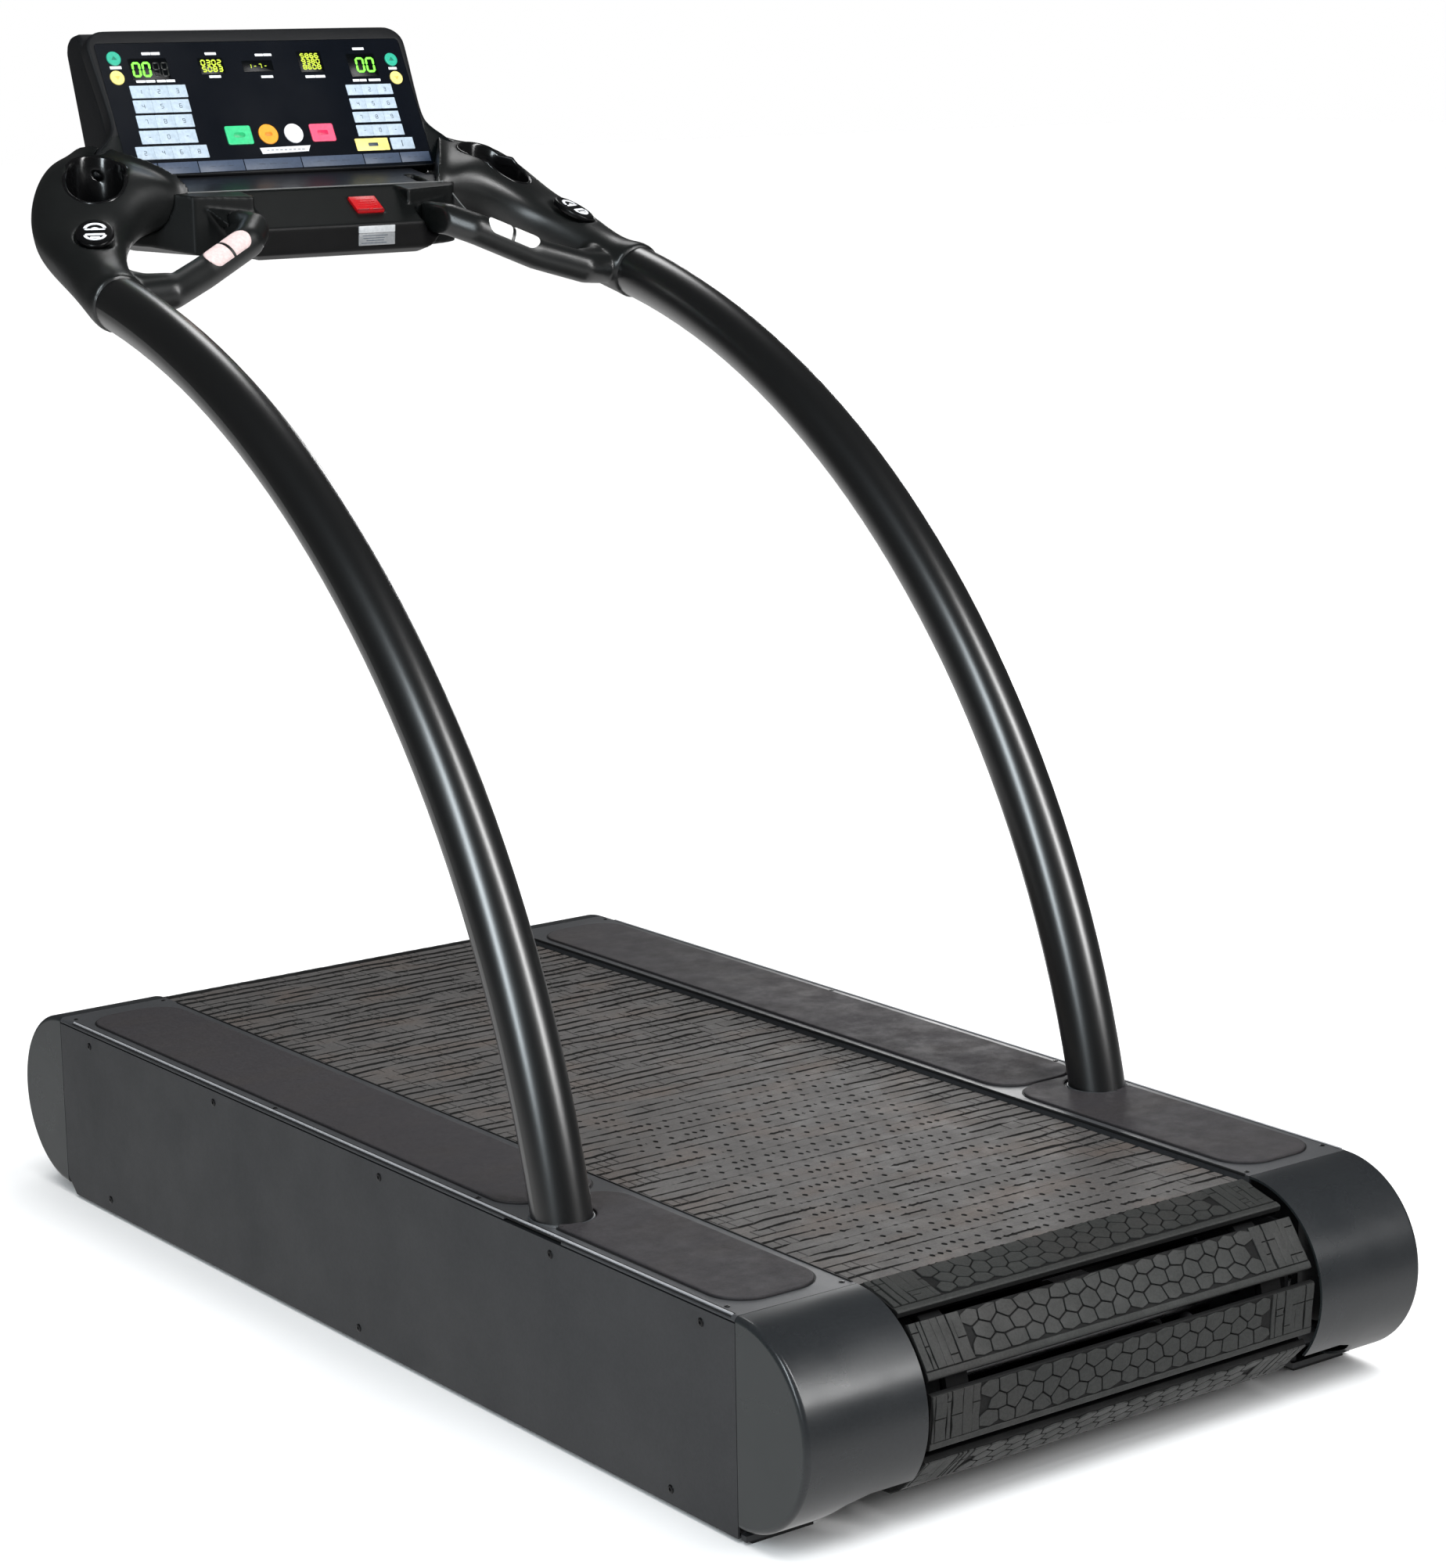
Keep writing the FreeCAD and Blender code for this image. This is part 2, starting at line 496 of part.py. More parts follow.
ARM = [
    (402.5, 1334, 1215.4, 0, 13.4, 38.5, 38.5, 2.0),
    (398.0, 1366, 1224.5, 5, 18, 38, 36.5, 2.1),
    (387, 1420, 1243.5, 16, 27, 40.5, 36, 2.3),
    (376, 1472, 1267, 27, 30, 51.5, 36.5, 2.6),
    (356, 1521, 1291, 36, 31, 64, 36.5, 2.8, 2),
    (320, 1561, 1322, 44, 28, 78, 44.5, 2.8, 7),
    (279, 1587, 1340, 52, 22, 90, 48, 2.8, 13),
    (239, 1602, 1350, 62, 12, 99, 47, 2.8, 17),
]
wing = Part.makeLoft([section(*s) for s in ARM], True, False)
GRIP_R = 21.5
GRIP = [V(386, 1394, 1236), V(360, 1358, 1222), V(322, 1347, 1225), V(259, 1375, 1246), V(179, 1397, 1282), V(152, 1426, 1296), V(146, 1480, 1299)]
WEB = [V(380, 1410, 1243), V(350, 1368, 1233), V(322, 1356, 1233)]
arm = wing
for k in range(len(GRIP) - 1):
    arm = arm.fuse(cyl(GRIP[k], GRIP[k + 1], GRIP_R))
    if 0 < k:
        arm = arm.fuse(Part.makeSphere(GRIP_R, GRIP[k]))
arm = arm.fuse(Part.makeSphere(GRIP_R, GRIP[0]))
for k in range(len(WEB) - 1):
    arm = arm.fuse(cyl(WEB[k], WEB[k + 1], 18.0))
arm = arm.fuse(Part.makeSphere(18.0, WEB[1])).fuse(Part.makeSphere(18.0, WEB[2]))
arm = arm.cut(arc_tube(TUBE_X, TUBE_R, 0, 900.0, y1=TUBE_END_Y))
# spigot that reaches down inside the tube
arm = arm.fuse(arc_tube(TUBE_X, TUBE_R - TUBE_WALL - 0.1, 0, 1185.0, y1=TUBE_END_Y + 2))
CUP_X, CUP_Y = 313.5, 1557.5
CUP_D = 11.0             # half length of the straight part of the cup pocket
CUP_T = V(-0.519, 0.857, 0)


def cup_pocket(x_sign):
    a = V(CUP_X, CUP_Y, 1302) + CUP_T * CUP_D
    b = V(CUP_X, CUP_Y, 1302) - CUP_T * CUP_D
    q = V(-CUP_T.y, CUP_T.x, 0) * 39.0
    slot = Part.Face(Part.makePolygon([a + q, b + q, b - q, a - q, a + q])).extrude(V(0, 0, 160))
    c = Part.makeCylinder(39.0, 160, a, V(0, 0, 1)).fuse(Part.makeCylinder(39.0, 160, b, V(0, 0, 1))).fuse(slot)
    return c if x_sign > 0 else mirror(c)


arm = arm.cut(cup_pocket(1))
# oval recess for the quick key
pod_t = V(-23, 44, 27)
pod_t.normalize()
pod_h = V(0.885, 0.466, 0)
pod_h = pod_h - pod_t * pod_h.dot(pod_t)
pod_h.normalize()
pod_n = pod_h.cross(pod_t)
if pod_n.z < 0:
    pod_n = pod_n * -1
POD = V(374, 1449, 1296)


def oval(a, b, n0, n1):
    """Oval prism on the arm's top at the quick key, long axis along the arm."""
    e = Part.Ellipse()
    e.MajorRadius, e.MinorRadius = a, b
    sh = Part.Face(Part.Wire([e.toShape()])).extrude(V(0, 0, n1 - n0))
    m = FreeCAD.Matrix(pod_t.x, pod_h.x, pod_n.x, POD.x + pod_n.x * n0,
                       pod_t.y, pod_h.y, pod_n.y, POD.y + pod_n.y * n0,
                       pod_t.z, pod_h.z, pod_n.z, POD.z + pod_n.z * n0, 0, 0, 0, 1)
    if m.determinant() < 0:
        m = FreeCAD.Matrix(pod_t.x, -pod_h.x, pod_n.x, POD.x + pod_n.x * n0,
                           pod_t.y, -pod_h.y, pod_n.y, POD.y + pod_n.y * n0,
                           pod_t.z, -pod_h.z, pod_n.z, POD.z + pod_n.z * n0, 0, 0, 0, 1)
    sh.transformShape(m)
    return sh


arm = arm.cut(oval(34.5, 26.5, -6.5, 30))

# ---- head outline, tray --------------------------------------------------
OUT = [(-288, -19), (-294, -6), (-290, 10), (-276, 26), (-256, 42), (-246, 58), (-248, 110), (-252, 172), (-250, 184), (-243, 193), (-232, 199), (-220, 200.5)]
OUT = OUT + [(-u, v) for u, v in reversed(OUT)]
head = scr_poly(OUT, -20.0, 1.5)
backp = poly_x([(SCR_Y + 20 * ct - 19 * st, SCR_Z - 20 * st - 19 * ct), (SCR_Y + 20 * ct + 196 * st, SCR_Z - 20 * st + 196 * ct),
                (1728, 1553.5), (1748, 1549), (1758, 1540), (BACK_Y, 1526), (1734, 1458), (1726, 1424), (1711, 1368), (1690, 1346)], -246, 246)
tray = poly_x([(1518, 1343), (1599.5, 1360.5), (1640, 1348), (1692, 1345), (1700, 1330), (1668, 1284), (1600, 1262), (1466, 1252), (1451, 1259), (1448, 1294)], -204, 204)
side_cut = poly_y([(204, 1345), (230, 1400), (260, 1400), (260, 1200), (96, 1200), (126, 1253), (145, 1264)], 1400, 1720)
tray = tray.cut(side_cut).cut(mirror(side_cut))
# shoulders that tie the tray to the arms
sh_p = poly_z([(120, 1478), (204, 1494), (236, 1540), (300, 1600), (300, 1680), (120, 1680)], 1240, 1352)
sh_p = sh_p.common(poly_y([(110, 1256), (200, 1261), (240, 1272), (305, 1280), (305, 1360), (110, 1360)], 1400, 1720))
sh_p = sh_p.cut(poly_x([(1440, 1330), (1518, 1343), (1600, 1361), (1600, 1400), (1440, 1400)], 100, 310))
tray = tray.fuse(sh_p).fuse(mirror(sh_p))
tray = tray.cut(head).cut(scr_poly(OUT, -21, -19.9)).cut(backp)
arm = arm.cut(head).cut(backp)
arm = arm.cut(poly_z([(0, 1400), (140, 1400), (140, 1500), (0, 1500)], 1200, 1400))
arm_r = single(arm)
tray = tray.cut(wing).cut(mirror(wing))
for k in range(len(GRIP) - 1):
    g = cyl(GRIP[k], GRIP[k + 1], GRIP_R).fuse(Part.makeSphere(GRIP_R, GRIP[k]))
    if k >= 3:
        tray = tray.cut(g).cut(mirror(g))
tray = tray.cut(cup_pocket(1)).cut(cup_pocket(-1))
# card slot in the ledge, seat of the stop tag on the sloping fascia
tray = tray.cut(box(169, 184, 1528, 1566, 1340, 1380))
fa = V(0, 1518, 1343)
fb = V(0, 1448, 1294)
ft = (fb - fa)
ft.normalize()
fn = V(0, ft.z, -ft.y)
if fn.z < 0:
    fn = fn * -1


def fas(u, w, n=0.0):
    """Point on the sloping fascia: u across, w down from its top edge."""
    return V(u, fa.y + ft.y * w + fn.y * n, fa.z + ft.z * w + fn.z * n)


def fas_box(u0, u1, w0, w1, n0, n1):
    p = [fas(u0, w0, n0), fas(u1, w0, n0), fas(u1, w1, n0), fas(u0, w1, n0)]
    return Part.Face(Part.makePolygon(p + [p[0]])).extrude(fn * (n1 - n0))


tray = tray.cut(fas_box(33.0, 76.0, 27.0, 61.0, -2.5, 5))
tag = fas_box(33.5, 75.5, 27.5, 60.5, -2.2, 3.2)
add("estop_tag", tag)
add("console_tray", single(tray))
add("arm_right", arm_r)
add("arm_left", mirror(arm_r))

# heart-rate pads: half shells on the straight run of each grip
gp, gq = GRIP[3], GRIP[4]
gd = (gq - gp)
gl = gd.Length
gd.normalize()
padss = []
for s0, s1 in ((4.0, 41.0), (46.0, 83.0)):
    ring = Part.makeCylinder(GRIP_R + 1.2, s1 - s0, gp + gd * s0, gd).cut(Part.makeCylinder(GRIP_R, s1 - s0, gp + gd * s0, gd))
    mid = gp + gd * ((s0 + s1) / 2)
    face_dir = V(0, -0.62, 0.78)
    face_dir = face_dir - gd * face_dir.dot(gd)
    face_dir.normalize()
    sidev = gd.cross(face_dir)
    c0 = mid - gd * 30 - sidev * 30 + face_dir * 2.0
    slab = Part.Face(Part.makePolygon([c0, c0 + gd * 60, c0 + gd * 60 + sidev * 60, c0 + sidev * 60, c0])).extrude(face_dir * 40)
    pdh = single(ring.common(slab))
    padss += [pdh, mirror(pdh)]
add("grip_pads", Part.Compound(padss))

# quick keys
qk = oval(32.5, 24.5, -3.0, 7.5).cut(oval(60, 60, 20, 30))
add("quick_key_right", qk)
add("quick_key_left", mirror(qk))

# ==========================================================================
# Console head: front shell, back shell, overlay, board, keys
# ==========================================================================
KEYS = {
    "incline_up_key": ("disc", -216.5, 158.0, 10.5, 0),
    "incline_down_key": ("disc", -219.0, 129.5, 10.5, 0),
    "speed_up_key": ("disc", 220.0, 148.0, 10.0, 0),
    "speed_down_key": ("disc", 220.0, 119.5, 10.0, 0),
    "start_key": ("rect", -58.2, 39.0, 40.0, 28.0),
    "pause_key": ("disc", -12.3, 39.0, 15.0, 0),
    "enter_key": ("disc", 28.0, 39.0, 14.5, 0),
    "stop_key": ("rect", 74.0, 38.7, 38.0, 27.0),
}


def inset(pts, d):
    """Outline moved towards the head's middle by about d."""
    cu, cv = 0.0, 92.0
    out = []
    for u, v in pts:
        su = 1 - d / 250.0
        sv = 1 - d / 105.0
        out.append((cu + (u - cu) * su, cv + (v - cv) * sv))
    return out


shell = head.cut(scr_rect(0, 82, 482, 198, 0.0, 3.0, 6.0))
shell = shell.cut(scr_poly(inset(OUT, 5.0), -21.0, -3.0))
ovl = scr_rect(0, 82, 481, 197, 0.0, 1.2, 5.5)
keyset = {}
for name, (kind, u, v, a, b) in KEYS.items():
    if kind == "disc":
        hole_ = scr_disc(u, v, a + 0.4, -5, 5)
        key = scr_disc(u, v, a, -5.5, 2.6)
    else:
        hole_ = scr_rect(u, v, a + 0.8, b + 0.8, -5, 5, 3.4)
        key = scr_rect(u, v, a, b, -5.5, 2.6, 3.0)
    shell = shell.cut(hole_)
    ovl = ovl.cut(hole_)
    add(name, key)
add("console_overlay", single(ovl))
add("console_housing", single(shell))
inner = poly_x([(SCR_Y + 24 * ct - 10 * st, SCR_Z - 24 * st - 10 * ct + 2), (SCR_Y + 24 * ct + 188 * st, SCR_Z - 24 * st + 188 * ct),
                (1727, 1550.5), (1746, 1546), (1755, 1538), (BACK_Y - 3, 1526), (1731, 1458), (1723, 1425), (1708, 1372), (1687, 1352)], -243, 243)
back = backp.cut(inner)
back = back.cut(scr_poly([(-238, -8), (238, -8), (238, 190), (-238, 190)], -26.0, -19.0))
add("console_back", single(back))
brd = scr_rect(0, 84, 440, 150, -13.0, -11.4, 0)
for uu in (-200, 200):
    for vv in (18, 150):
        brd = brd.fuse(scr_disc(uu, vv, 4, -11.4, -3.0))
for uu, vv, w_, h_ in ((-60, 60, 60, 40), (70, 110, 30, 30), (120, 50, 24, 60)):
    brd = brd.fuse(scr_rect(uu, vv, w_, h_, -17.0, -13.0, 0))
add("console_board", single(brd))

# ==========================================================================
for name, s in sorted(parts.items()):
    ok = s.isValid()
    s.exportStep("parts/%s.step" % name)
    bb = s.BoundBox
    print("%-18s solids %3d valid %s vol %9.1f cm3  x %.1f..%.1f y %.1f..%.1f z %.1f..%.1f" % (
        name, len(s.Solids), ok, s.Volume / 1000.0, bb.XMin, bb.XMax, bb.YMin, bb.YMax, bb.ZMin, bb.ZMax))
print("nodes", len(parts), "lift wheel y", WH_Y, "lift start angle", math.degrees(a0))
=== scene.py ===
import math
import random

import bmesh
import bpy
import numpy as np
from mathutils import Matrix, Vector, noise


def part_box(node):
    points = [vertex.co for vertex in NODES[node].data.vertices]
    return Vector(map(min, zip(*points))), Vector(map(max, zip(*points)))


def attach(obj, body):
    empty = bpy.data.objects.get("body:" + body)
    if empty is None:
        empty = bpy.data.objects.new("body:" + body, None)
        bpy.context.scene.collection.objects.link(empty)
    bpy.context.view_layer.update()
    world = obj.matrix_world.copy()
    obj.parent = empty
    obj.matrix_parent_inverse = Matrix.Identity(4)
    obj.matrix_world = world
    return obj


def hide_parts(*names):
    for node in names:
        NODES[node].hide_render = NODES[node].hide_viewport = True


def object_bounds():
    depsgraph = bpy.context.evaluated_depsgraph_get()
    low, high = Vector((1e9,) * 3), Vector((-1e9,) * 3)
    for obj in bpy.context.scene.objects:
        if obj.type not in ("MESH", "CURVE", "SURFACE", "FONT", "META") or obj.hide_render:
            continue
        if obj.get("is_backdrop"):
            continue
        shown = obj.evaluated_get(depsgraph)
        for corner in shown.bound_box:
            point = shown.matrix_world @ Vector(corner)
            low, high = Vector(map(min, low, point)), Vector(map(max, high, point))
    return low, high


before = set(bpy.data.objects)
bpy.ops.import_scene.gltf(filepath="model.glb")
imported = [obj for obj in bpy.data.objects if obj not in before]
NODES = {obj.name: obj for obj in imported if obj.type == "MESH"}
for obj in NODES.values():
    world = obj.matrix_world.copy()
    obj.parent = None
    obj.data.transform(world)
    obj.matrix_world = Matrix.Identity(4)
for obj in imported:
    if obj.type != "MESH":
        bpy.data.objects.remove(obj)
CAD_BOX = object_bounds()
SC = bpy.context.scene

# --------------------------------------------------------------------------
# The machine is drawn in millimetres with y from the rear axle; the row
# frame is the same with y moved by the offset below, in metres.
# --------------------------------------------------------------------------
YC = round(-500.0 * sum(c[1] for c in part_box("rear_shaft")), 3)
AXLE_Z, AXLE_DIST, PITCH = 132.0, 1524.0, 63.5
SLATS, SLAT_PHASE, SLAT_HALF = 57, 14.5, 280.0
R_TREAD, R_FLANGE = 112.0, 102.0
PAD_W = 62.9
BODY_HALF, CAP_R, CAP_IN, DECK_Z = 448.5, 117.0, 288.0, 249.0
TUBE_X, TUBE_R = 402.5, 35.0
ARC_Y, ARC_Z, ARC_R = 1629.0, -26.0, 1276.0
SCR_Y, SCR_Z, SCR_TILT = 1607.4, 1378.0, 26.79
CT, ST = math.cos(math.radians(SCR_TILT)), math.sin(math.radians(SCR_TILT))


def P(x, y, z):
    return Vector((x / 1000.0, (y - YC) / 1000.0, z / 1000.0))


def scr(u, v, n=0.0):
    return P(u, SCR_Y + v * ST - n * CT, SCR_Z + v * CT + n * ST)


def lin(r, g, b):
    def f(c):
        c /= 255.0
        return c / 12.92 if c <= 0.04045 else ((c + 0.055) / 1.055) ** 2.4
    return (f(r), f(g), f(b), 1.0)


# --------------------------------------------------------------------------
# Camera
# --------------------------------------------------------------------------
yaw, pitch, roll = math.radians(36.50), math.radians(11.62), math.radians(-0.991)
F = Vector((math.sin(yaw) * math.cos(pitch), math.cos(yaw) * math.cos(pitch), -math.sin(pitch)))
r0 = Vector((math.cos(yaw), -math.sin(yaw), 0.0))
u0 = r0.cross(F)
c_, s_ = math.cos(roll), math.sin(roll)
Rv = r0 * c_ + u0 * s_
Uv = r0 * -s_ + u0 * c_
cam_data = bpy.data.cameras.new("camera")
cam_data.lens = 4684.0 / 2004.0 * 36.0
cam_data.sensor_width = 36.0
cam_data.clip_end = 100.0
cam = bpy.data.objects.new("camera", cam_data)
m3 = Matrix(((Rv.x, Uv.x, -F.x), (Rv.y, Uv.y, -F.y), (Rv.z, Uv.z, -F.z)))
cam.matrix_world = Matrix.Translation(P(-2578.6, -2874.0, 1543.5)) @ m3.to_4x4()
SC.collection.objects.link(cam)
SC.camera = cam


# --------------------------------------------------------------------------
# Materials
# --------------------------------------------------------------------------
class Nodes:
    """A short way to write a node tree."""

    def __init__(self, name):
        self.m = bpy.data.materials.new(name)
        self.m.use_nodes = True
        self.t = self.m.node_tree
        self.t.nodes.clear()
        self.out = self.t.nodes.new("ShaderNodeOutputMaterial")
        self.b = self.t.nodes.new("ShaderNodeBsdfPrincipled")
        self.t.links.new(self.b.outputs[0], self.out.inputs[0])
        self.co = self.t.nodes.new("ShaderNodeTexCoord").outputs["Object"]

    def n(self, kind, **kw):
        x = self.t.nodes.new(kind)
        for k, v in kw.items():
            setattr(x, k, v)
        return x

    def link(self, a, b):
        self.t.links.new(a, b)

    def scaled(self, sx, sy, sz):
        mp = self.n("ShaderNodeMapping")
        mp.inputs["Scale"].default_value = (sx, sy, sz)
        self.link(self.co, mp.inputs["Vector"])
        return mp.outputs[0]

    def noise(self, scale, detail=2.0, rough=0.5, vec=None, out="Fac"):
        x = self.n("ShaderNodeTexNoise")
        x.inputs["Scale"].default_value = scale
        x.inputs["Detail"].default_value = detail
        x.inputs["Roughness"].default_value = rough
        self.link(vec if vec is not None else self.co, x.inputs["Vector"])
        return x.outputs[out]

    def voronoi(self, scale, vec=None, feature="F1"):
        x = self.n("ShaderNodeTexVoronoi", feature=feature)
        x.inputs["Scale"].default_value = scale
        self.link(vec if vec is not None else self.co, x.inputs["Vector"])
        return x.outputs["Distance"]

    def ramp(self, fac, stops):
        x = self.n("ShaderNodeValToRGB")
        e = x.color_ramp.elements
        while len(e) < len(stops):
            e.new(0.5)
        for el, (p, c) in zip(e, stops):
            el.position = p
            el.color = c if len(c) == 4 else (*c, 1.0)
        self.link(fac, x.inputs[0])
        return x.outputs[0]

    def map(self, fac, a, b, c, d):
        x = self.n("ShaderNodeMapRange")
        for i, v in zip(("From Min", "From Max", "To Min", "To Max"), (a, b, c, d)):
            x.inputs[i].default_value = v
        self.link(fac, x.inputs["Value"])
        return x.outputs[0]

    def math(self, op, a, b):
        x = self.n("ShaderNodeMath", operation=op)
        for i, v in enumerate((a, b)):
            if isinstance(v, (int, float)):
                x.inputs[i].default_value = v
            else:
                self.link(v, x.inputs[i])
        return x.outputs[0]

    def mix(self, fac, a, b, mode="MIX"):
        x = self.n("ShaderNodeMix", data_type="RGBA", blend_type=mode)
        for i, v in ((0, fac), (6, a), (7, b)):
            if isinstance(v, (int, float)):
                x.inputs[i].default_value = v
            elif isinstance(v, tuple):
                x.inputs[i].default_value = v
            else:
                self.link(v, x.inputs[i])
        return x.outputs[2]

    def bump(self, h, strength, dist):
        x = self.n("ShaderNodeBump")
        x.inputs["Strength"].default_value = strength
        x.inputs["Distance"].default_value = dist
        self.link(h, x.inputs["Height"])
        self.link(x.outputs[0], self.b.inputs["Normal"])
        return x

    def set(self, **kw):
        names = {"metallic": "Metallic", "rough": "Roughness", "coat": "Coat Weight", "coat_rough": "Coat Roughness",
                 "spec": "Specular IOR Level", "sheen": "Sheen Weight", "emit": "Emission Color", "emit_s": "Emission Strength"}
        for k, v in kw.items():
            self.b.inputs[names[k]].default_value = v


def tone(c, k):
    return (min(1.0, c[0] * k), min(1.0, c[1] * k), min(1.0, c[2] * k), 1.0)


def paint(name, col, rough=0.4, var=0.12, grain=900.0, grain_s=0.12, metallic=0.0, coat=0.0, coat_rough=0.2, spec=0.5, dust=0.25, rvar=0.08, side=None):
    """Powder coat or moulded plastic: fine grain, cloudy tone, light dust on what faces up; side paints faces turned
    along x in their own tone, a painted lighting difference.
    """
    k = Nodes(name)
    cloud = k.noise(3.1, 4.0, 0.55)
    fine = k.noise(260.0, 2.0, 0.5)
    c1 = k.ramp(cloud, [(0.30, tone(col, 1 - var)), (0.70, tone(col, 1 + var))])
    spec_ = k.ramp(fine, [(0.35, (0.92, 0.92, 0.92)), (0.65, (1.08, 1.08, 1.08))])
    c2 = k.mix(1.0, c1, spec_, "MULTIPLY")
    if dust > 0:
        g = k.n("ShaderNodeNewGeometry")
        sep = k.n("ShaderNodeSeparateXYZ")
        k.link(g.outputs["Normal"], sep.inputs[0])
        up = k.map(sep.outputs[2], 0.4, 1.0, 0.0, dust)
        patch = k.map(k.noise(11.0, 5.0, 0.6), 0.35, 0.75, 0.0, 1.0)
        c2 = k.mix(k.math("MULTIPLY", up, patch), c2, tone(col, 1.9))
    # painted light: faces turned along x get the side tone, standing in for how light falls on them, not a second paint
    if side is not None:
        g = k.n("ShaderNodeNewGeometry")
        sep = k.n("ShaderNodeSeparateXYZ")
        k.link(g.outputs["Normal"], sep.inputs[0])
        c2 = k.mix(k.map(k.math("ABSOLUTE", sep.outputs[0], 0.0), 0.85, 0.98, 0.0, 1.0), c2, side)
    k.link(c2, k.b.inputs["Base Color"])
    rr = k.map(k.noise(7.0, 4.0, 0.6), 0.3, 0.7, max(0.03, rough - rvar), min(1.0, rough + rvar))
    k.link(rr, k.b.inputs["Roughness"])
    k.bump(k.noise(grain, 3.0, 0.6), grain_s, 0.0006)
    k.set(metallic=metallic, coat=coat, coat_rough=coat_rough, spec=spec)
    return k.m


def rubber(name, col, rough=0.75, grain=620.0, var=0.2, warm=None, grain_s=0.35):
    k = Nodes(name)
    cloud = k.noise(5.0, 5.0, 0.6)
    c1 = k.ramp(cloud, [(0.28, tone(col, 1 - var)), (0.72, tone(col, 1 + var))])
    if warm is not None:
        w = k.map(k.noise(8.5, 3.0, 0.5, vec=k.scaled(1.0, 1.6, 1.0)), 0.48, 0.70, 0.0, 0.75)
        c1 = k.mix(w, c1, warm)
    sp = k.ramp(k.noise(380.0, 2.0, 0.6), [(0.38, (0.84, 0.84, 0.84)), (0.62, (1.14, 1.14, 1.14))])
    k.link(k.mix(1.0, c1, sp, "MULTIPLY"), k.b.inputs["Base Color"])
    k.link(k.map(k.noise(30.0, 3.0, 0.6), 0.3, 0.7, rough - 0.1, min(1.0, rough + 0.1)), k.b.inputs["Roughness"])
    k.bump(k.noise(grain, 4.0, 0.7), grain_s, 0.0008)
    k.set(spec=0.35)
    return k.m


def metal(name, col, rough=0.35, scratch=0.25, axis=(1.0, 40.0, 40.0), var=0.15):
    k = Nodes(name)
    long_ = k.noise(26.0, 4.0, 0.6, vec=k.scaled(*axis))
    c1 = k.ramp(k.noise(6.0, 4.0, 0.6), [(0.3, tone(col, 1 - var)), (0.7, tone(col, 1 + var))])
    c2 = k.mix(1.0, c1, k.ramp(long_, [(0.3, (0.86, 0.86, 0.86)), (0.7, (1.1, 1.1, 1.1))]), "MULTIPLY")
    k.link(c2, k.b.inputs["Base Color"])
    k.link(k.map(long_, 0.3, 0.7, max(0.05, rough - 0.1), rough + 0.12), k.b.inputs["Roughness"])
    k.bump(long_, scratch, 0.0003)
    k.set(metallic=1.0)
    return k.m


def lamp(name, col, strength, base=None):
    """A lit segment: the glow varies a little over its face."""
    k = Nodes(name)
    v = k.ramp(k.noise(900.0, 2.0, 0.5), [(0.3, tone(col, 0.7)), (0.7, tone(col, 1.15))])
    k.link(v, k.b.inputs["Base Color"])
    k.link(v, k.b.inputs["Emission Color"])
    k.set(rough=0.35, emit_s=strength)
    return k.m


MAT = {}
MAT["frame_steel"] = paint("mat_frame_steel", lin(46, 47, 49), 0.5, 0.2, 700, 0.2)
MAT["foot_steel"] = paint("mat_foot_steel", lin(38, 39, 41), 0.55, 0.2, 700, 0.25)
MAT["steel"] = metal("mat_steel", lin(150, 150, 152), 0.3)
MAT["aluminium"] = metal("mat_aluminium", lin(74, 75, 78), 0.45)
MAT["motor_paint"] = paint("mat_motor", lin(58, 60, 64), 0.42, 0.2, 500, 0.25)
MAT["panel_paint"] = paint("mat_panel", lin(43, 44, 46), 0.42, 0.06, 1100, 0.10, dust=0.0, spec=0.35)
# the caps' flat end faces get a lighter, greener side tone: painted light
MAT["cap_paint"] = paint("mat_cap", lin(32, 34, 36), 0.30, 0.06, 1300, 0.05, dust=0.0, coat=0.2, coat_rough=0.2, spec=0.45, side=lin(34, 38, 39))
MAT["cover_paint"] = paint("mat_cover", lin(56, 57, 59), 0.40, 0.06, 1100, 0.12, dust=0.1, spec=0.5)
MAT["tube_paint"] = paint("mat_tube", lin(6, 7, 8), 0.30, 0.08, 1500, 0.008, coat=1.0, coat_rough=0.29, dust=0.0, rvar=0.015, spec=0.9)
MAT["mat_rubber"] = rubber("mat_step", lin(46, 44, 46), 0.66, 900.0, 0.05, warm=lin(48, 45, 45), grain_s=0.22)
MAT["tread_rubber"] = rubber("mat_tread", lin(72, 70, 69), 0.62, 520.0, 0.15, warm=lin(78, 70, 65))
# near-black groove floors and slab under the tread: painted shade in the recesses
MAT["groove_painted_shade"] = rubber("mat_groove_painted_shade", lin(16, 16, 16), 0.8)
# darkened groove walls: painted shade inside the grooves
MAT["wall_painted_shade"] = rubber("mat_wall_painted_shade", lin(24, 23, 22), 0.75)
# darker copy of the tread rubber for the slats with six-sided blocks, mostly those round the drums: painted shade where
# they turn away from the light
MAT["tread_painted_shade"] = rubber("mat_tread_painted_shade", lin(40, 41, 40), 0.58, 520.0, 0.13, warm=lin(44, 43, 42))
MAT["belt_rubber"] = rubber("mat_belt", lin(14, 14, 15), 0.8)
MAT["foot_rubber"] = rubber("mat_foot_rubber", lin(24, 24, 25), 0.85)
MAT["wheel_rubber"] = rubber("mat_wheel", lin(34, 34, 35), 0.7)
MAT["console_plastic"] = paint("mat_console", lin(20, 21, 23), 0.46, 0.08, 820, 0.3, dust=0.05, spec=0.28)
MAT["overlay_film"] = paint("mat_overlay", lin(7, 11, 18), 0.22, 0.10, 1600, 0.01, coat=0.0, dust=0.0, rvar=0.04, spec=0.26)
MAT["circuit_board"] = paint("mat_board", lin(30, 80, 50), 0.4, 0.2, 600, 0.2, dust=0.0)
MAT["box_grey"] = paint("mat_box", lin(120, 122, 124), 0.45, 0.12, 600, 0.2)
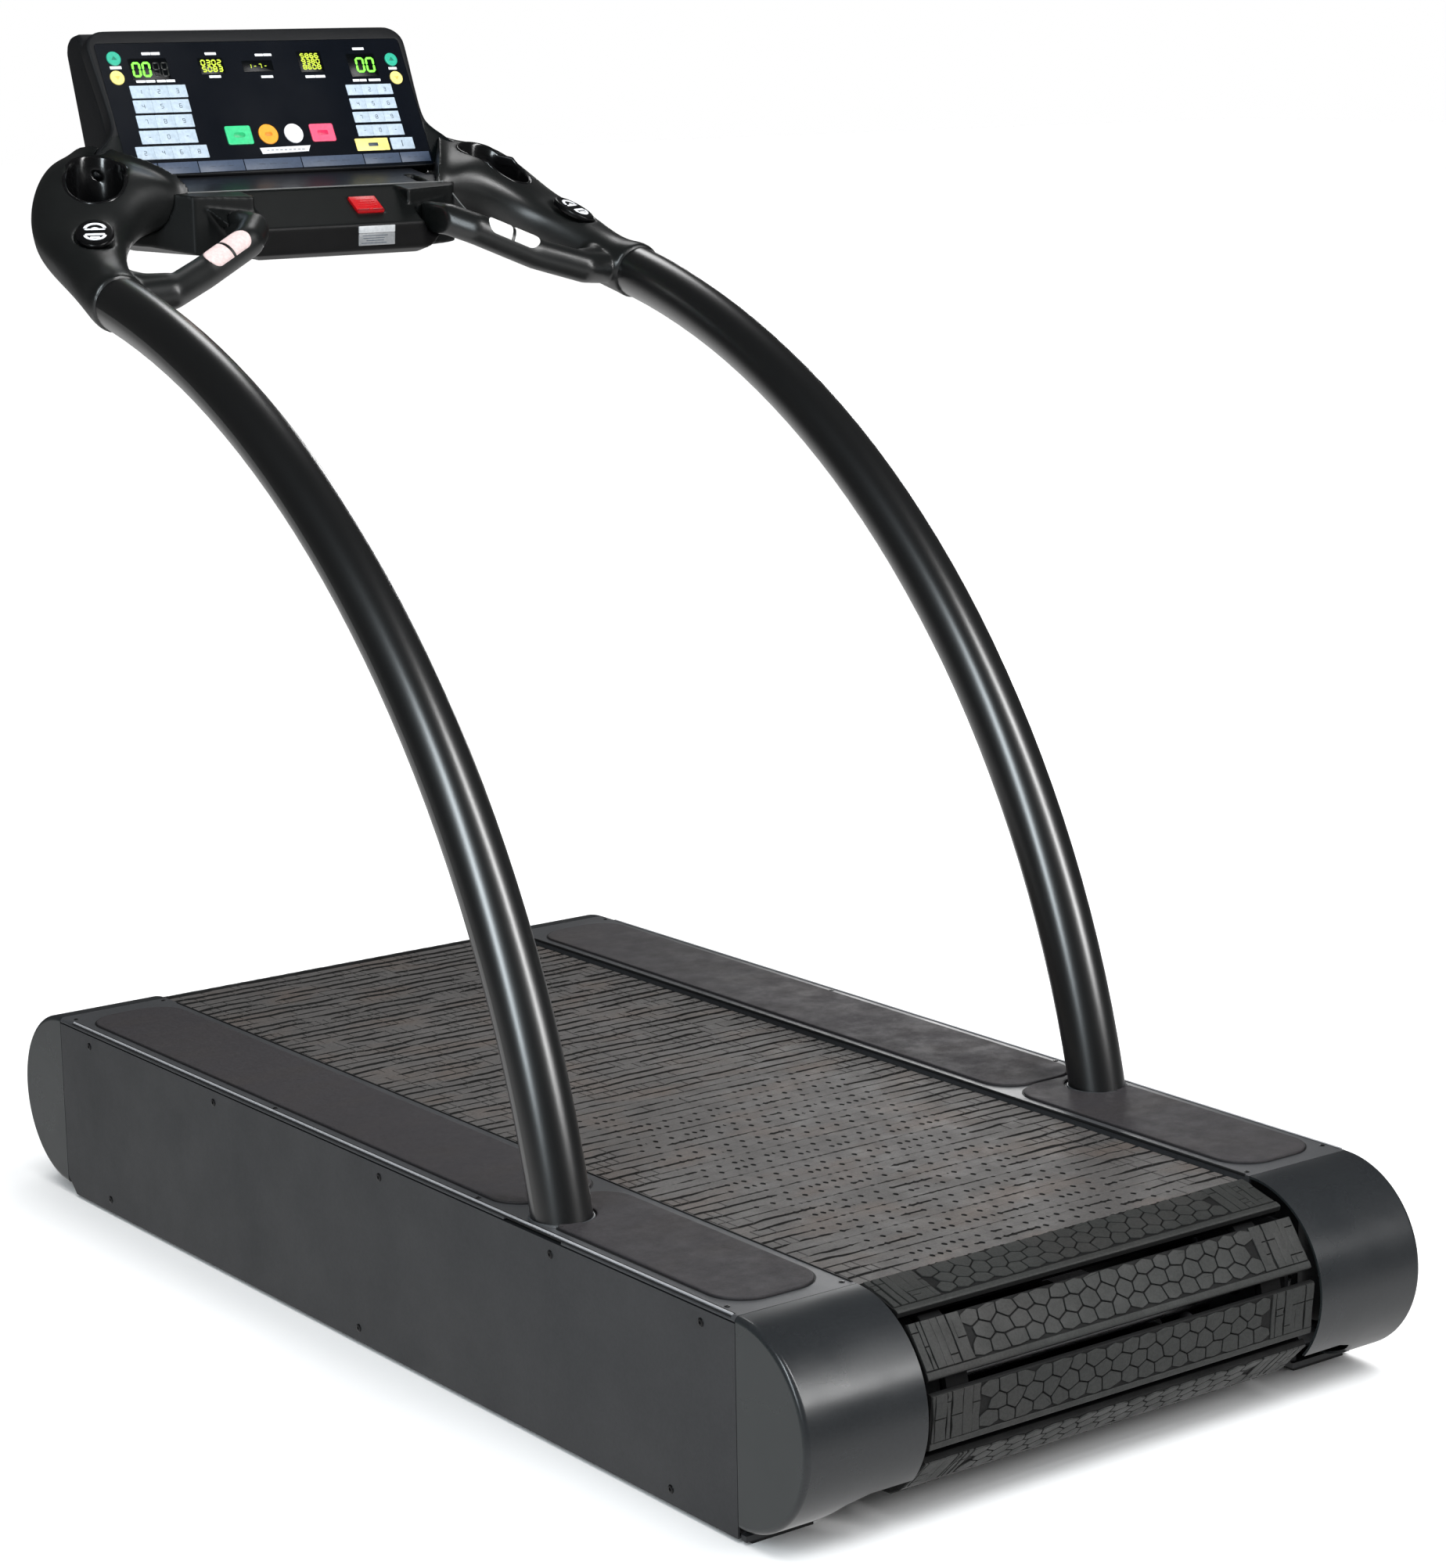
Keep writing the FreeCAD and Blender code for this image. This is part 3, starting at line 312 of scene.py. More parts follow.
MAT["inlet_black"] = paint("mat_inlet", lin(22, 22, 23), 0.4, 0.15, 900, 0.25, dust=0.0)
MAT["key_green"] = paint("mat_key_green", lin(48, 196, 128), 0.32, 0.08, 900, 0.15, dust=0.0)
MAT["key_red"] = paint("mat_key_red", lin(236, 84, 118), 0.32, 0.08, 900, 0.15, dust=0.0)
MAT["key_orange"] = paint("mat_key_orange", lin(242, 160, 38), 0.32, 0.10, 900, 0.15, dust=0.0)
MAT["key_white"] = paint("mat_key_white", lin(240, 240, 244), 0.34, 0.05, 900, 0.15, dust=0.0)
MAT["key_teal"] = paint("mat_key_teal", lin(40, 170, 140), 0.32, 0.08, 900, 0.15, dust=0.0)
MAT["key_yellow"] = paint("mat_key_yellow", lin(244, 226, 130), 0.34, 0.08, 900, 0.15, dust=0.0)
MAT["quick_black"] = paint("mat_quick", lin(6, 6, 7), 0.26, 0.12, 900, 0.08, dust=0.0, spec=0.35)
MAT["tag_red"] = paint("mat_tag", lin(168, 15, 21), 0.3, 0.10, 900, 0.12, dust=0.0)
MAT["pad_metal"] = metal("mat_pad", lin(214, 196, 194), 0.34, 0.1, (8.0, 8.0, 60.0), 0.06)
MAT["screw_black"] = paint("mat_screw", lin(24, 24, 25), 0.3, 0.15, 900, 0.2, metallic=0.6, dust=0.0)
MAT["arm_plastic"] = paint("mat_arm", lin(13, 15, 15), 0.36, 0.08, 900, 0.12, dust=0.0, spec=0.9)
MAT["cup_gloss"] = paint("mat_cup", lin(10, 10, 11), 0.2, 0.08, 900, 0.04, dust=0.0, coat=0.3, coat_rough=0.12)
MAT["fascia_dark"] = paint("mat_fascia", lin(10, 12, 12), 0.42, 0.08, 900, 0.15, dust=0.0, spec=0.3)
MAT["fascia_black"] = paint("mat_fascia_low", lin(4, 4, 5), 0.38, 0.08, 900, 0.12, dust=0.0, spec=0.25)
MAT["trim_line"] = paint("mat_trim", lin(96, 98, 98), 0.34, 0.08, 900, 0.1, dust=0.0)
MAT["key_grey"] = paint("mat_key_grey", lin(172, 188, 202), 0.4, 0.05, 900, 0.12, dust=0.0)
MAT["key_slate"] = paint("mat_key_slate", lin(66, 78, 98), 0.42, 0.08, 900, 0.1, dust=0.0)
MAT["mark_dark"] = paint("mat_mark_dark", lin(54, 66, 80), 0.45, 0.05, 900, 0.1, dust=0.0)
MAT["mark_white"] = paint("mat_mark_white", lin(226, 228, 232), 0.4, 0.05, 900, 0.1, dust=0.0)
MAT["window"] = paint("mat_window", lin(4, 6, 8), 0.25, 0.1, 900, 0.01, dust=0.0, spec=0.2)
MAT["led_green"] = lamp("mat_led_green", lin(110, 220, 60), 1.2)
MAT["led_lime"] = lamp("mat_led_lime", lin(176, 196, 50), 0.55)
MAT["plate_light"] = paint("mat_plate_light", lin(178, 180, 182), 0.35, 0.06, 900, 0.1, dust=0.0)
MAT["plate_mid"] = paint("mat_plate_mid", lin(126, 128, 130), 0.35, 0.08, 900, 0.1, dust=0.0)
# near-black for seams, gaps and vent slots: painted shadow where they fall into shade
MAT["gap_painted_shadow"] = paint("mat_gap_painted_shadow", lin(8, 8, 9), 0.6, 0.1, 900, 0.1, dust=0.0)

MAT["bar_dark"] = metal("mat_bar_dark", lin(18, 18, 20), 0.55)
MAT["ledge"] = paint("mat_ledge", lin(17, 18, 21), 0.36, 0.08, 900, 0.15, dust=0.0, spec=0.35)
MAT["flare_gloss"] = paint("mat_flare", lin(7, 11, 12), 0.28, 0.08, 900, 0.05, dust=0.0, spec=0.35)
MAT["led_dim"] = paint("mat_led_dim", lin(20, 24, 22), 0.3, 0.1, 900, 0.05, dust=0.0)
MAT["key_slate_line"] = paint("mat_key_slate_line", lin(38, 46, 60), 0.4, 0.08, 900, 0.05, dust=0.0)
MAT["icon_teal"] = paint("mat_icon_teal", lin(20, 120, 98), 0.35, 0.08, 900, 0.1, dust=0.0)
MAT["icon_yellow"] = paint("mat_icon_yellow", lin(208, 186, 92), 0.35, 0.08, 900, 0.1, dust=0.0)
MAT["icon_green"] = paint("mat_icon_green", lin(36, 168, 104), 0.35, 0.08, 900, 0.1, dust=0.0)
MAT["icon_orange"] = paint("mat_icon_orange", lin(214, 128, 24), 0.35, 0.08, 900, 0.1, dust=0.0)
MAT["icon_white"] = paint("mat_icon_white", lin(214, 214, 222), 0.35, 0.05, 900, 0.1, dust=0.0)
MAT["icon_red"] = paint("mat_icon_red", lin(206, 40, 84), 0.35, 0.08, 900, 0.1, dust=0.0)
MAT["tag_dark"] = paint("mat_tag_dark", lin(120, 8, 14), 0.35, 0.1, 900, 0.1, dust=0.0)
# the same pulse pads in two tones, left darker and warmer, right lighter: painted shade and painted light
MAT["pad_warm"] = paint("mat_pad_warm", lin(206, 184, 182), 0.42, 0.05, 700, 0.1, dust=0.0)
MAT["pad_light"] = paint("mat_pad_light", lin(226, 226, 224), 0.42, 0.05, 700, 0.1, dust=0.0)
# light grey bead on the deck cover edge: painted highlight line
MAT["bead_line"] = paint("mat_bead_painted_highlight", lin(146, 147, 150), 0.3, 0.08, 900, 0.05, dust=0.0)
MAT["collar"] = paint("mat_collar", lin(58, 60, 62), 0.35, 0.1, 900, 0.1, dust=0.0)


# --------------------------------------------------------------------------
# Mesh helpers
# --------------------------------------------------------------------------
def mesh_obj(name, verts, faces, body, mat, slot=None, sharp=35.0, smooth=True):
    """verts in row-frame metres."""
    me = bpy.data.meshes.new(name)
    me.from_pydata([tuple(v) for v in verts], [], faces)
    me.update()
    bm = bmesh.new()
    bm.from_mesh(me)
    bmesh.ops.recalc_face_normals(bm, faces=bm.faces)
    bm.to_mesh(me)
    bm.free()
    if smooth:
        me.shade_smooth()
        me.set_sharp_from_angle(angle=math.radians(sharp))
    o = bpy.data.objects.new(name, me)
    SC.collection.objects.link(o)
    me.materials.append(MAT[mat])
    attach(o, body)
    return o


class Geo:
    """Collects closed pieces into one mesh."""

    def __init__(self):
        self.v, self.f, self.m = [], [], []

    def add(self, verts, faces, mi=0):
        b = len(self.v)
        self.v += verts
        self.f += [tuple(b + i for i in f) for f in faces]
        self.m += [mi] * len(faces)

    def prism(self, ring0, ring1, extra=None, mi=0, cap0=True, cap1=True):
        """Closed solid through a list of rings with the same count."""
        rings = [ring0] + (extra or []) + [ring1]
        n = len(ring0)
        v = [p for r in rings for p in r]
        f = []
        for k in range(len(rings) - 1):
            a, b = k * n, (k + 1) * n
            f += [(a + i, a + (i + 1) % n, b + (i + 1) % n, b + i) for i in range(n)]
        if cap0:
            f.append(tuple(reversed(range(n))))
        if cap1:
            f.append(tuple((len(rings) - 1) * n + i for i in range(n)))
        self.add(v, f, mi)

    def obj(self, name, body, mats, slot=None, sharp=35.0, recalc=True):
        me = bpy.data.meshes.new(name)
        me.from_pydata([tuple(p) for p in self.v], [], self.f)
        for mm in mats:
            me.materials.append(MAT[mm])
        me.polygons.foreach_set("material_index", np.array(self.m, np.int32))
        me.update()
        if recalc:
            bm = bmesh.new()
            bm.from_mesh(me)
            bmesh.ops.recalc_face_normals(bm, faces=bm.faces)
            bm.to_mesh(me)
            bm.free()
        me.shade_smooth()
        me.set_sharp_from_angle(angle=math.radians(sharp))
        o = bpy.data.objects.new(name, me)
        SC.collection.objects.link(o)
        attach(o, body)
        return o


def rrect(w, h, r, n=6):
    """Rounded rectangle outline about 0,0."""
    r = min(r, w / 2 - 1e-6, h / 2 - 1e-6)
    pts = []
    for cx, cy, a0 in ((w / 2 - r, h / 2 - r, 0), (-w / 2 + r, h / 2 - r, 90), (-w / 2 + r, -h / 2 + r, 180), (w / 2 - r, -h / 2 + r, 270)):
        for k in range(n + 1):
            a = math.radians(a0 + 90.0 * k / n)
            pts.append((cx + r * math.cos(a), cy + r * math.sin(a)))
    return pts


def inset(pts, d):
    """Outline moved in by d, for convex outlines that run anticlockwise."""
    n = len(pts)
    area = sum(pts[i][0] * pts[(i + 1) % n][1] - pts[(i + 1) % n][0] * pts[i][1] for i in range(n))
    s = 1.0 if area > 0 else -1.0
    out = []
    for i in range(n):
        x0, y0 = pts[i - 1]
        x1, y1 = pts[i]
        x2, y2 = pts[(i + 1) % n]
        ax, ay = x1 - x0, y1 - y0
        bx, by = x2 - x1, y2 - y1
        la, lb = math.hypot(ax, ay) or 1.0, math.hypot(bx, by) or 1.0
        nx = -(ay / la + by / lb) * s
        ny = (ax / la + bx / lb) * s
        ln = math.hypot(nx, ny) or 1.0
        k = min(1.8, 2.0 / max(ln, 0.5)) * 1.0
        out.append((x1 + nx / ln * d * k, y1 + ny / ln * d * k))
    return out


def add_raised(g, place, pts, h0, h1, bev=0.4, mi=0, dome=0.0):
    """Raised key-like piece: outline pts, from h0 to h1, top edge rounded. place(u, v, n) gives a point."""
    q = inset(pts, bev * 0.3)
    q2 = inset(pts, bev)
    rings = [[place(u, v, h0) for u, v in pts], [place(u, v, h1 - bev) for u, v in pts],
             [place(u, v, h1 - bev * 0.3) for u, v in q], [place(u, v, h1) for u, v in q2]]
    g.prism(rings[0], rings[3], rings[1:3], mi)


def tube_ring(c, a, b, r, n):
    return [c + a * (r * math.cos(2 * math.pi * k / n)) + b * (r * math.sin(2 * math.pi * k / n)) for k in range(n)]


# --------------------------------------------------------------------------
# Belt treads
# --------------------------------------------------------------------------
def slat_place(i):
    half = 4.5 * PITCH
    s = (i * PITCH - SLAT_PHASE / 40.0 * PITCH) % (2 * AXLE_DIST + 2 * half)
    if s <= AXLE_DIST:
        return s, 0.0, 0
    s -= AXLE_DIST
    if s <= half:
        return AXLE_DIST, -180.0 * s / half, 1
    s -= half
    if s <= AXLE_DIST:
        return AXLE_DIST - s, -180.0, 2
    s -= AXLE_DIST
    return 0.0, -180.0 - 180.0 * s / half, 3


def smooth01(t):
    t = max(0.0, min(1.0, t))
    return t * t * (3 - 2 * t)


def belt_base(g, to):
    """Slab under the tread pattern with rounded long edges, painted near-black as the shade seen between the tread
    blocks.
    """
    w, x1 = PAD_W / 2, SLAT_HALF
    prof = [(-w + 1.5, R_FLANGE), (w - 1.5, R_FLANGE), (w, R_FLANGE + 1.5), (w, R_TREAD - 3.4), (w - 1.2, R_TREAD - 2.2), (-w + 1.2, R_TREAD - 2.2), (-w, R_TREAD - 3.4), (-w, R_FLANGE + 1.5)]
    g.prism([to(-x1, y, z) for y, z in prof], [to(x1, y, z) for y, z in prof], None, 1)


def lines_slat(g, to, y_abs, seed, fine=True):
    """Transverse wavy lugs that break into a dot grid in the middle of the deck."""
    rows = 3
    rp = PAD_W / rows
    xs = []
    step = 11.6
    nd = int(2 * SLAT_HALF / step)
    for j in range(nd + 1):
        xc = -SLAT_HALF + 5.0 + j * step
        offs = (-3.2, -2.4, -1.1, 0.0, 1.1, 2.4, 3.2) if fine else (0.0,)
        for d in offs:
            x = xc + d
            if -SLAT_HALF + 0.8 < x < SLAT_HALF - 0.8:
                xs.append((x, j, d))
    xs = [(-SLAT_HALF, -1, 9.0)] + xs + [(SLAT_HALF, -1, 9.0)]
    top, depth = R_TREAD, 2.2

    def region(x, y):
        """1 in the dotted middle and rear of the deck, 0 at the edges and the front."""
        a = smooth01((232.0 - abs(x + 18.0 * math.sin(y * 0.006))) / 70.0)
        b = smooth01((820.0 + 160.0 * noise.noise(Vector((x * 0.008, 3.1, 0.7))) - y) / 260.0)
        return a * b

    def edge(k, x, j, d):
        """Centre line and half width of the groove k at x."""
        yb = y_abs - PAD_W / 2 + k * rp
        wob = 6.0 * noise.noise(Vector((x * 0.016, yb * 0.02, 1.3))) + 1.6 * noise.noise(Vector((x * 0.07, yb * 0.05, 5.3)))
        reg = region(x, yb)
        amp = 1.0 - 0.75 * reg
        nz = noise.noise(Vector((x * 0.020, yb * 0.21, 9.7)))
        n2 = noise.noise(Vector((x * 0.09, yb * 0.13, 2.9)))
        # the lines widen towards the front (yb past 700), so more near-black groove shows there: painted shade from the
        # console
        line = (3.1 + 1.1 * nz + 1.0 * n2 + 1.2 * smooth01((yb - 700.0) / 700.0)) * smooth01((nz + 0.50) / 0.30) * (1 - reg) + 2.4 * reg * smooth01((nz + 0.3 * n2 - 0.20) / 0.12)
        dot = 0.0
        if j >= 0:
            par = (k + seed) % 2
            on = (j + par) % 2 == 0 or noise.noise(Vector((x * 0.05, yb * 0.05, 2.2))) > 0.25
            if on:
                dot = 4.3 * math.sqrt(max(0.0, 1.0 - (d / 2.9) ** 2)) * (0.1 + 0.9 * reg)
        if k in (0, rows):
            return -PAD_W / 2 + k * rp, max(0.05, 0.5 * max(line, dot) - 0.1)
        return -PAD_W / 2 + k * rp + wob * amp, max(0.05, line, dot)

    lines = []
    for k in range(rows + 1):
        lines.append([edge(k, x, j, d) for x, j, d in xs])
    for k in range(rows):
        v, f, mi_ = [], [], []
        for i, (x, j, d) in enumerate(xs):
            ya, wa = lines[k][i]
            yb, wb = lines[k + 1][i]
            ya += wa
            yb -= wb
            cut = 0.0
            if j >= 0 and d == 0.0 and fine:
                reg = region(x, y_abs + ya)
                if noise.noise(Vector((j * 3.7, (k + 3 * seed) * 5.3, 0.4))) > 0.12 + 0.9 * reg:
                    cut = 1.7
            hmod = 0.25 * noise.noise(Vector((x * 0.03, (y_abs + ya) * 0.06, 7.7)))
            e = 0.3
            hm = hmod - cut
            v += [to(x, ya - 0.1, top - depth - 0.2), to(x, ya + e * 0.2, top - e - 0.25 + hm), to(x, ya + e * 1.2, top - 0.28 + hm),
                  to(x, yb - e * 1.2, top - 0.28 + hm), to(x, yb - e * 0.2, top - e - 0.25 + hm), to(x, yb + 0.1, top - depth - 0.2)]
            if i:
                a, b = (i - 1) * 6, i * 6
                f += [(a + q, a + q + 1, b + q + 1, b + q) for q in range(5)]
                f.append((a + 5, a, b, b + 5))
                # groove walls and floors take the near-black painted-shade materials
                mi_ += [3, 0, 0, 0, 3, 1]
        n = (len(xs) - 1) * 6
        f.append((0, 1, 2, 3, 4, 5))
        f.append((n + 5, n + 4, n + 3, n + 2, n + 1, n))
        base_ = len(g.m)
        g.add(v, f, 0)
        g.m[base_:base_ + len(mi_)] = mi_


def cell(g, to, poly, top, depth, gap=0.85, dome=0.1, mi=2):
    """One tread block: outline poly (x, y), anticlockwise."""
    p0 = inset(poly, gap)
    p1 = inset(poly, gap + 0.28)
    p2 = inset(poly, gap + 1.5)
    rings = [[to(x, y, top - depth - 0.2) for x, y in p0], [to(x, y, top - 0.5) for x, y in p0],
             [to(x, y, top - dome) for x, y in p1], [to(x, y, top) for x, y in p2]]
    g.prism(rings[0], rings[3], rings[1:3], mi)


def jit(x, y, seed, a):
    q = Vector((x * 0.37 + seed * 7.13, y * 0.41 + seed * 3.7, 4.4))
    w = noise.noise_vector(q)
    return a * w.x, a * w.y


def honey_slat(g, to, seed):
    """Six-sided blocks in three rows, small uneven ribs at both ends, a plain band on the trailing edge."""
    rows, R, Pw = 3, 18.0, 25.0
    y0, y1 = -22.6, PAD_W / 2 - 0.2
    lim = 205.0
    n = int(lim / Pw) + 1

    def corner(x, y):
        yy = max(y0, min(y1, y))
        dx, dy = jit(round(x, 1), round(y, 1), seed, 5.0)
        if yy <= y0 + 0.01 or yy >= y1 - 0.01:
            return x + dx, yy
        return x + dx, max(y0, min(y1, y + dy))

    for j in range(rows):
        cy = 4.4 + (j - 1) * R
        off = 0.5 * Pw if j % 2 else 0.0
        for i in range(-n, n + 1):
            cx = i * Pw + off
            if abs(cx) > lim:
                continue
            h = [(cx + Pw / 2, cy - R / 3), (cx + Pw / 2, cy + R / 3), (cx, cy + 2 * R / 3), (cx - Pw / 2, cy + R / 3), (cx - Pw / 2, cy - R / 3), (cx, cy - 2 * R / 3)]
            q = [corner(*c) for c in h]
            r = []
            m = len(q)
            for t in range(m):
                a, b, c = q[t - 1], q[t], q[(t + 1) % m]
                for s, e in ((a, 0.10), (c, 0.10)):
                    r.append((b[0] + (s[0] - b[0]) * e, b[1] + (s[1] - b[1]) * e))
            cell(g, to, r, R_TREAD - 0.1, 1.6)
    rnd = random.Random(100 + seed)
    for sgn in (-1, 1):
        x = lim + 0.30 * Pw
        while x < SLAT_HALF - 3.5:
            w = rnd.uniform(6.5, 15.0)
            x2 = min(x + w, SLAT_HALF - 0.6)
            cuts = sorted(rnd.sample([-12, -4, 3, 11, 20], rnd.choice((0, 1, 1, 2))))
            ys = [y0] + cuts + [y1]
            b0, b1 = rnd.uniform(-1.6, 1.6), rnd.uniform(-1.6, 1.6)
            for a, b in zip(ys[:-1], ys[1:]):
                mid = (a + b) / 2
                q = [(x + b0, a), (x2 + b1, a), (x2 + b1 + rnd.uniform(-1.8, 1.8), mid), (x2 + b1, b), (x + b0, b), (x + b0 + rnd.uniform(-1.2, 1.2), mid)]
                q = [(max(lim + 0.05 * Pw, min(SLAT_HALF - 0.3, p_[0])), p_[1]) for p_ in q]
                if sgn < 0:
                    q = [(-p_[0], p_[1]) for p_ in reversed(q)]
                cell(g, to, q, R_TREAD - 0.15 - rnd.uniform(0, 0.35), 1.6, 0.55, 0.1)
            x = x2
    # plain band
    w = PAD_W / 2
    prof = [(-w + 0.2, R_TREAD - 4.5), (y0 - 0.6, R_TREAD - 4.5), (y0 - 0.6, R_TREAD - 1.5), (y0 - 1.2, R_TREAD - 1.1), (-w + 2.4, R_TREAD - 1.7), (-w + 0.9, R_TREAD - 2.3), (-w + 0.2, R_TREAD - 3.2)]
    g.prism([to(-SLAT_HALF + 0.4, y, z) for y, z in prof], [to(SLAT_HALF - 0.4, y, z) for y, z in prof], None, 2)


def build_treads():
    g = Geo()
    for i in range(SLATS):
        yy, ang, kind = slat_place(i)
        a = math.radians(ang)
        ca, sa = math.cos(a), math.sin(a)

        def to(x, y, z, ca=ca, sa=sa, yy=yy):
            # slat drawn on top of the belt: y across the slat, z outwards
            return P(x, yy + y * ca - z * sa, AXLE_Z + y * sa + z * ca)

        belt_base(g, to)
        if kind == 0 and yy > 25:
            lines_slat(g, to, yy, i)
        elif kind in (1, 3) or yy <= 25:
            # six-sided slats use the darker tread copy: painted shade
            honey_slat(g, to, i)
        else:
            lines_slat(g, to, yy, i, fine=False)
    o = g.obj("belt_treads", "frame", ["tread_rubber", "groove_painted_shade", "tread_painted_shade", "wall_painted_shade"], "tread_rubber", 40.0, recalc=False)
    bm = bmesh.new()
    bm.from_mesh(o.data)
    bmesh.ops.recalc_face_normals(bm, faces=bm.faces)
    bm.to_mesh(o.data)
    bm.free()
    o.data.shade_smooth()
    o.data.set_sharp_from_angle(angle=math.radians(40))
    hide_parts("slat_treads")
    return o


build_treads()

# --------------------------------------------------------------------------
# CAD nodes: their materials
# --------------------------------------------------------------------------
NODE_MAT = {
    "rear_foot_base": "foot_steel", "rear_foot_pads": "foot_rubber", "rear_pivot_pins": "steel",
    "side_rail_left": "frame_steel", "side_rail_right": "frame_steel", "cross_members": "frame_steel",
    "roller_rails": "frame_steel", "guide_rollers": "wheel_rubber", "belt_cords": "belt_rubber", "slat_bars": "bar_dark",
    "shaft_bearings": "steel", "drive_motor": "motor_paint", "drive_belt": "belt_rubber", "lift_gearmotor": "motor_paint",
    "controller_box": "box_grey", "power_inlet": "inlet_black", "side_panel_left": "panel_paint", "side_panel_right": "panel_paint",
    "panel_screws": "screw_black", "deck_cover_left": "cover_paint", "deck_cover_right": "cover_paint", "step_mats": "mat_rubber",
    "rear_cap_left": "cap_paint", "rear_cap_right": "cap_paint", "front_cap_left": "cap_paint", "front_cap_right": "cap_paint",
    "handrail_left": "tube_paint", "handrail_right": "tube_paint", "handrail_sockets": "frame_steel",
    "console_housing": "console_plastic", "console_back": "console_plastic", "console_overlay": "overlay_film",
    "console_board": "circuit_board", "console_tray": "fascia_dark", "arm_left": "arm_plastic", "arm_right": "arm_plastic",
    "grip_pads": "pad_metal", "rear_shaft": "steel", "rear_pulleys": "aluminium", "front_shaft": "steel", "front_pulleys": "aluminium",
    "motor_pulley": "steel", "lift_arm": "frame_steel", "lift_axles": "steel", "lift_wheel_left": "wheel_rubber", "lift_wheel_right": "wheel_rubber",
    "power_rocker": "tag_red", "estop_tag": "tag_red", "start_key": "key_green", "stop_key": "key_red", "pause_key": "key_orange",
    "enter_key": "key_white", "speed_up_key": "key_teal", "speed_down_key": "key_yellow", "incline_up_key": "key_teal",
    "incline_down_key": "key_yellow", "quick_key_left": "quick_black", "quick_key_right": "quick_black",
}
for n_, o_ in NODES.items():
    if n_ in NODE_MAT:
        for k_ in range(len(o_.data.materials)):
            o_.data.materials[k_] = MAT[NODE_MAT[n_]]
        if not o_.data.materials:
            o_.data.materials.append(MAT[NODE_MAT[n_]])


# --------------------------------------------------------------------------
# Moulded parts: the node's solid with rounded edges and blended corners
# --------------------------------------------------------------------------
def moulded(node, name, mats, voxel, smooth, pick=None):
    src = NODES[node]
    me = src.data.copy()
    o = bpy.data.objects.new(name, me)
    SC.collection.objects.link(o)
    w = o.modifiers.new("weld", "WELD")
    w.merge_threshold = 0.00002
    r = o.modifiers.new("remesh", "REMESH")
    r.mode = "VOXEL"
    r.voxel_size = voxel
    r.use_smooth_shade = True
    sm = o.modifiers.new("smooth", "SMOOTH")
    sm.factor = 0.5
    sm.iterations = smooth
    dg = bpy.context.evaluated_depsgraph_get()
    out = bpy.data.meshes.new_from_object(o.evaluated_get(dg))
    out.name = name
    o.modifiers.clear()
    o.data = out
    bpy.data.meshes.remove(me)
    out.materials.clear()
    for mm in mats:
        out.materials.append(MAT[mm])
    n = len(out.polygons)
    idx = np.zeros(n, np.int32)
    if pick is not None:
        cen = np.zeros(n * 3, np.float32)
        nor = np.zeros(n * 3, np.float32)
        out.polygons.foreach_get("center", cen)
        out.polygons.foreach_get("normal", nor)
        idx = pick(cen.reshape(-1, 3) * 1000.0 + np.array([0, YC, 0]), nor.reshape(-1, 3)).astype(np.int32)
    out.polygons.foreach_set("material_index", idx)
    out.shade_smooth()
    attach(o, "frame")
    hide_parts(node)
    return o


CUP_X, CUP_Y = 313.5, 1557.5
CUP_T = (-0.519, 0.857)
CUP_D = 11.0


def cup_dist(x, y):
    """Distance of |x|, y from the middle line of the cup pocket."""
    dx, dy = x - CUP_X, y - CUP_Y
    t = np.clip(dx * CUP_T[0] + dy * CUP_T[1], -CUP_D, CUP_D)
    return np.hypot(dx - CUP_T[0] * t, dy - CUP_T[1] * t)


def arm_pick(c, n):
    r = cup_dist(np.abs(c[:, 0]), c[:, 1])
    return np.where((r < 39.8) & (c[:, 2] > 1300), 1, 0)


arm_l = moulded("arm_left", "wing_arm_left", ["arm_plastic", "cup_gloss"], 0.0024, 16, arm_pick)
arm_r = moulded("arm_right", "wing_arm_right", ["arm_plastic", "cup_gloss"], 0.0024, 16, arm_pick)


def tray_pick(c, n):
    low = (c[:, 1] < 1470) & (c[:, 2] < 1293.5)
    ledge = (n[:, 2] > 0.6) & (c[:, 2] > 1341) & (c[:, 1] > 1519)
    return np.where(low, 1, np.where(ledge, 2, 0))


tray = moulded("console_tray", "console_tray_shell", ["fascia_dark", "fascia_black", "ledge"], 0.0022, 4, tray_pick)

# --------------------------------------------------------------------------
# Console head: front shell with rounded rim
# --------------------------------------------------------------------------
OUT = [(-288, -19), (-294, -6), (-290, 10), (-276, 26), (-256, 42), (-246, 58), (-248, 110), (-252, 172), (-250, 184), (-243, 193), (-232, 199), (-220, 200.5)]
OUT = OUT + [(-u, v) for u, v in reversed(OUT)]


def chaikin(pts, times):
    for _ in range(times):
        q = []
        n = len(pts)
        for i in range(n):
            a, b = pts[i], pts[(i + 1) % n]
            q.append((a[0] * 0.75 + b[0] * 0.25, a[1] * 0.75 + b[1] * 0.25))
            q.append((a[0] * 0.25 + b[0] * 0.75, a[1] * 0.25 + b[1] * 0.75))
        pts = q
    return pts


def polar(pts, cu, cv, n):
    """Outline read along n rays from a middle point."""
    out = []
    m = len(pts)
    for k in range(n):
        a = 2 * math.pi * k / n
        dx, dy = math.cos(a), math.sin(a)
        best = None
        for i in range(m):
            x0, y0 = pts[i][0] - cu, pts[i][1] - cv
            x1, y1 = pts[(i + 1) % m][0] - cu, pts[(i + 1) % m][1] - cv
            ex, ey = x1 - x0, y1 - y0
            den = dx * ey - dy * ex
            if abs(den) < 1e-9:
                continue
            t = (x0 * ey - y0 * ex) / den
            u = (x0 * dy - y0 * dx) / den
            if t > 0 and -1e-9 <= u <= 1 + 1e-9 and (best is None or t > best):
                best = t
        out.append((cu + dx * best, cv + dy * best))
    return out


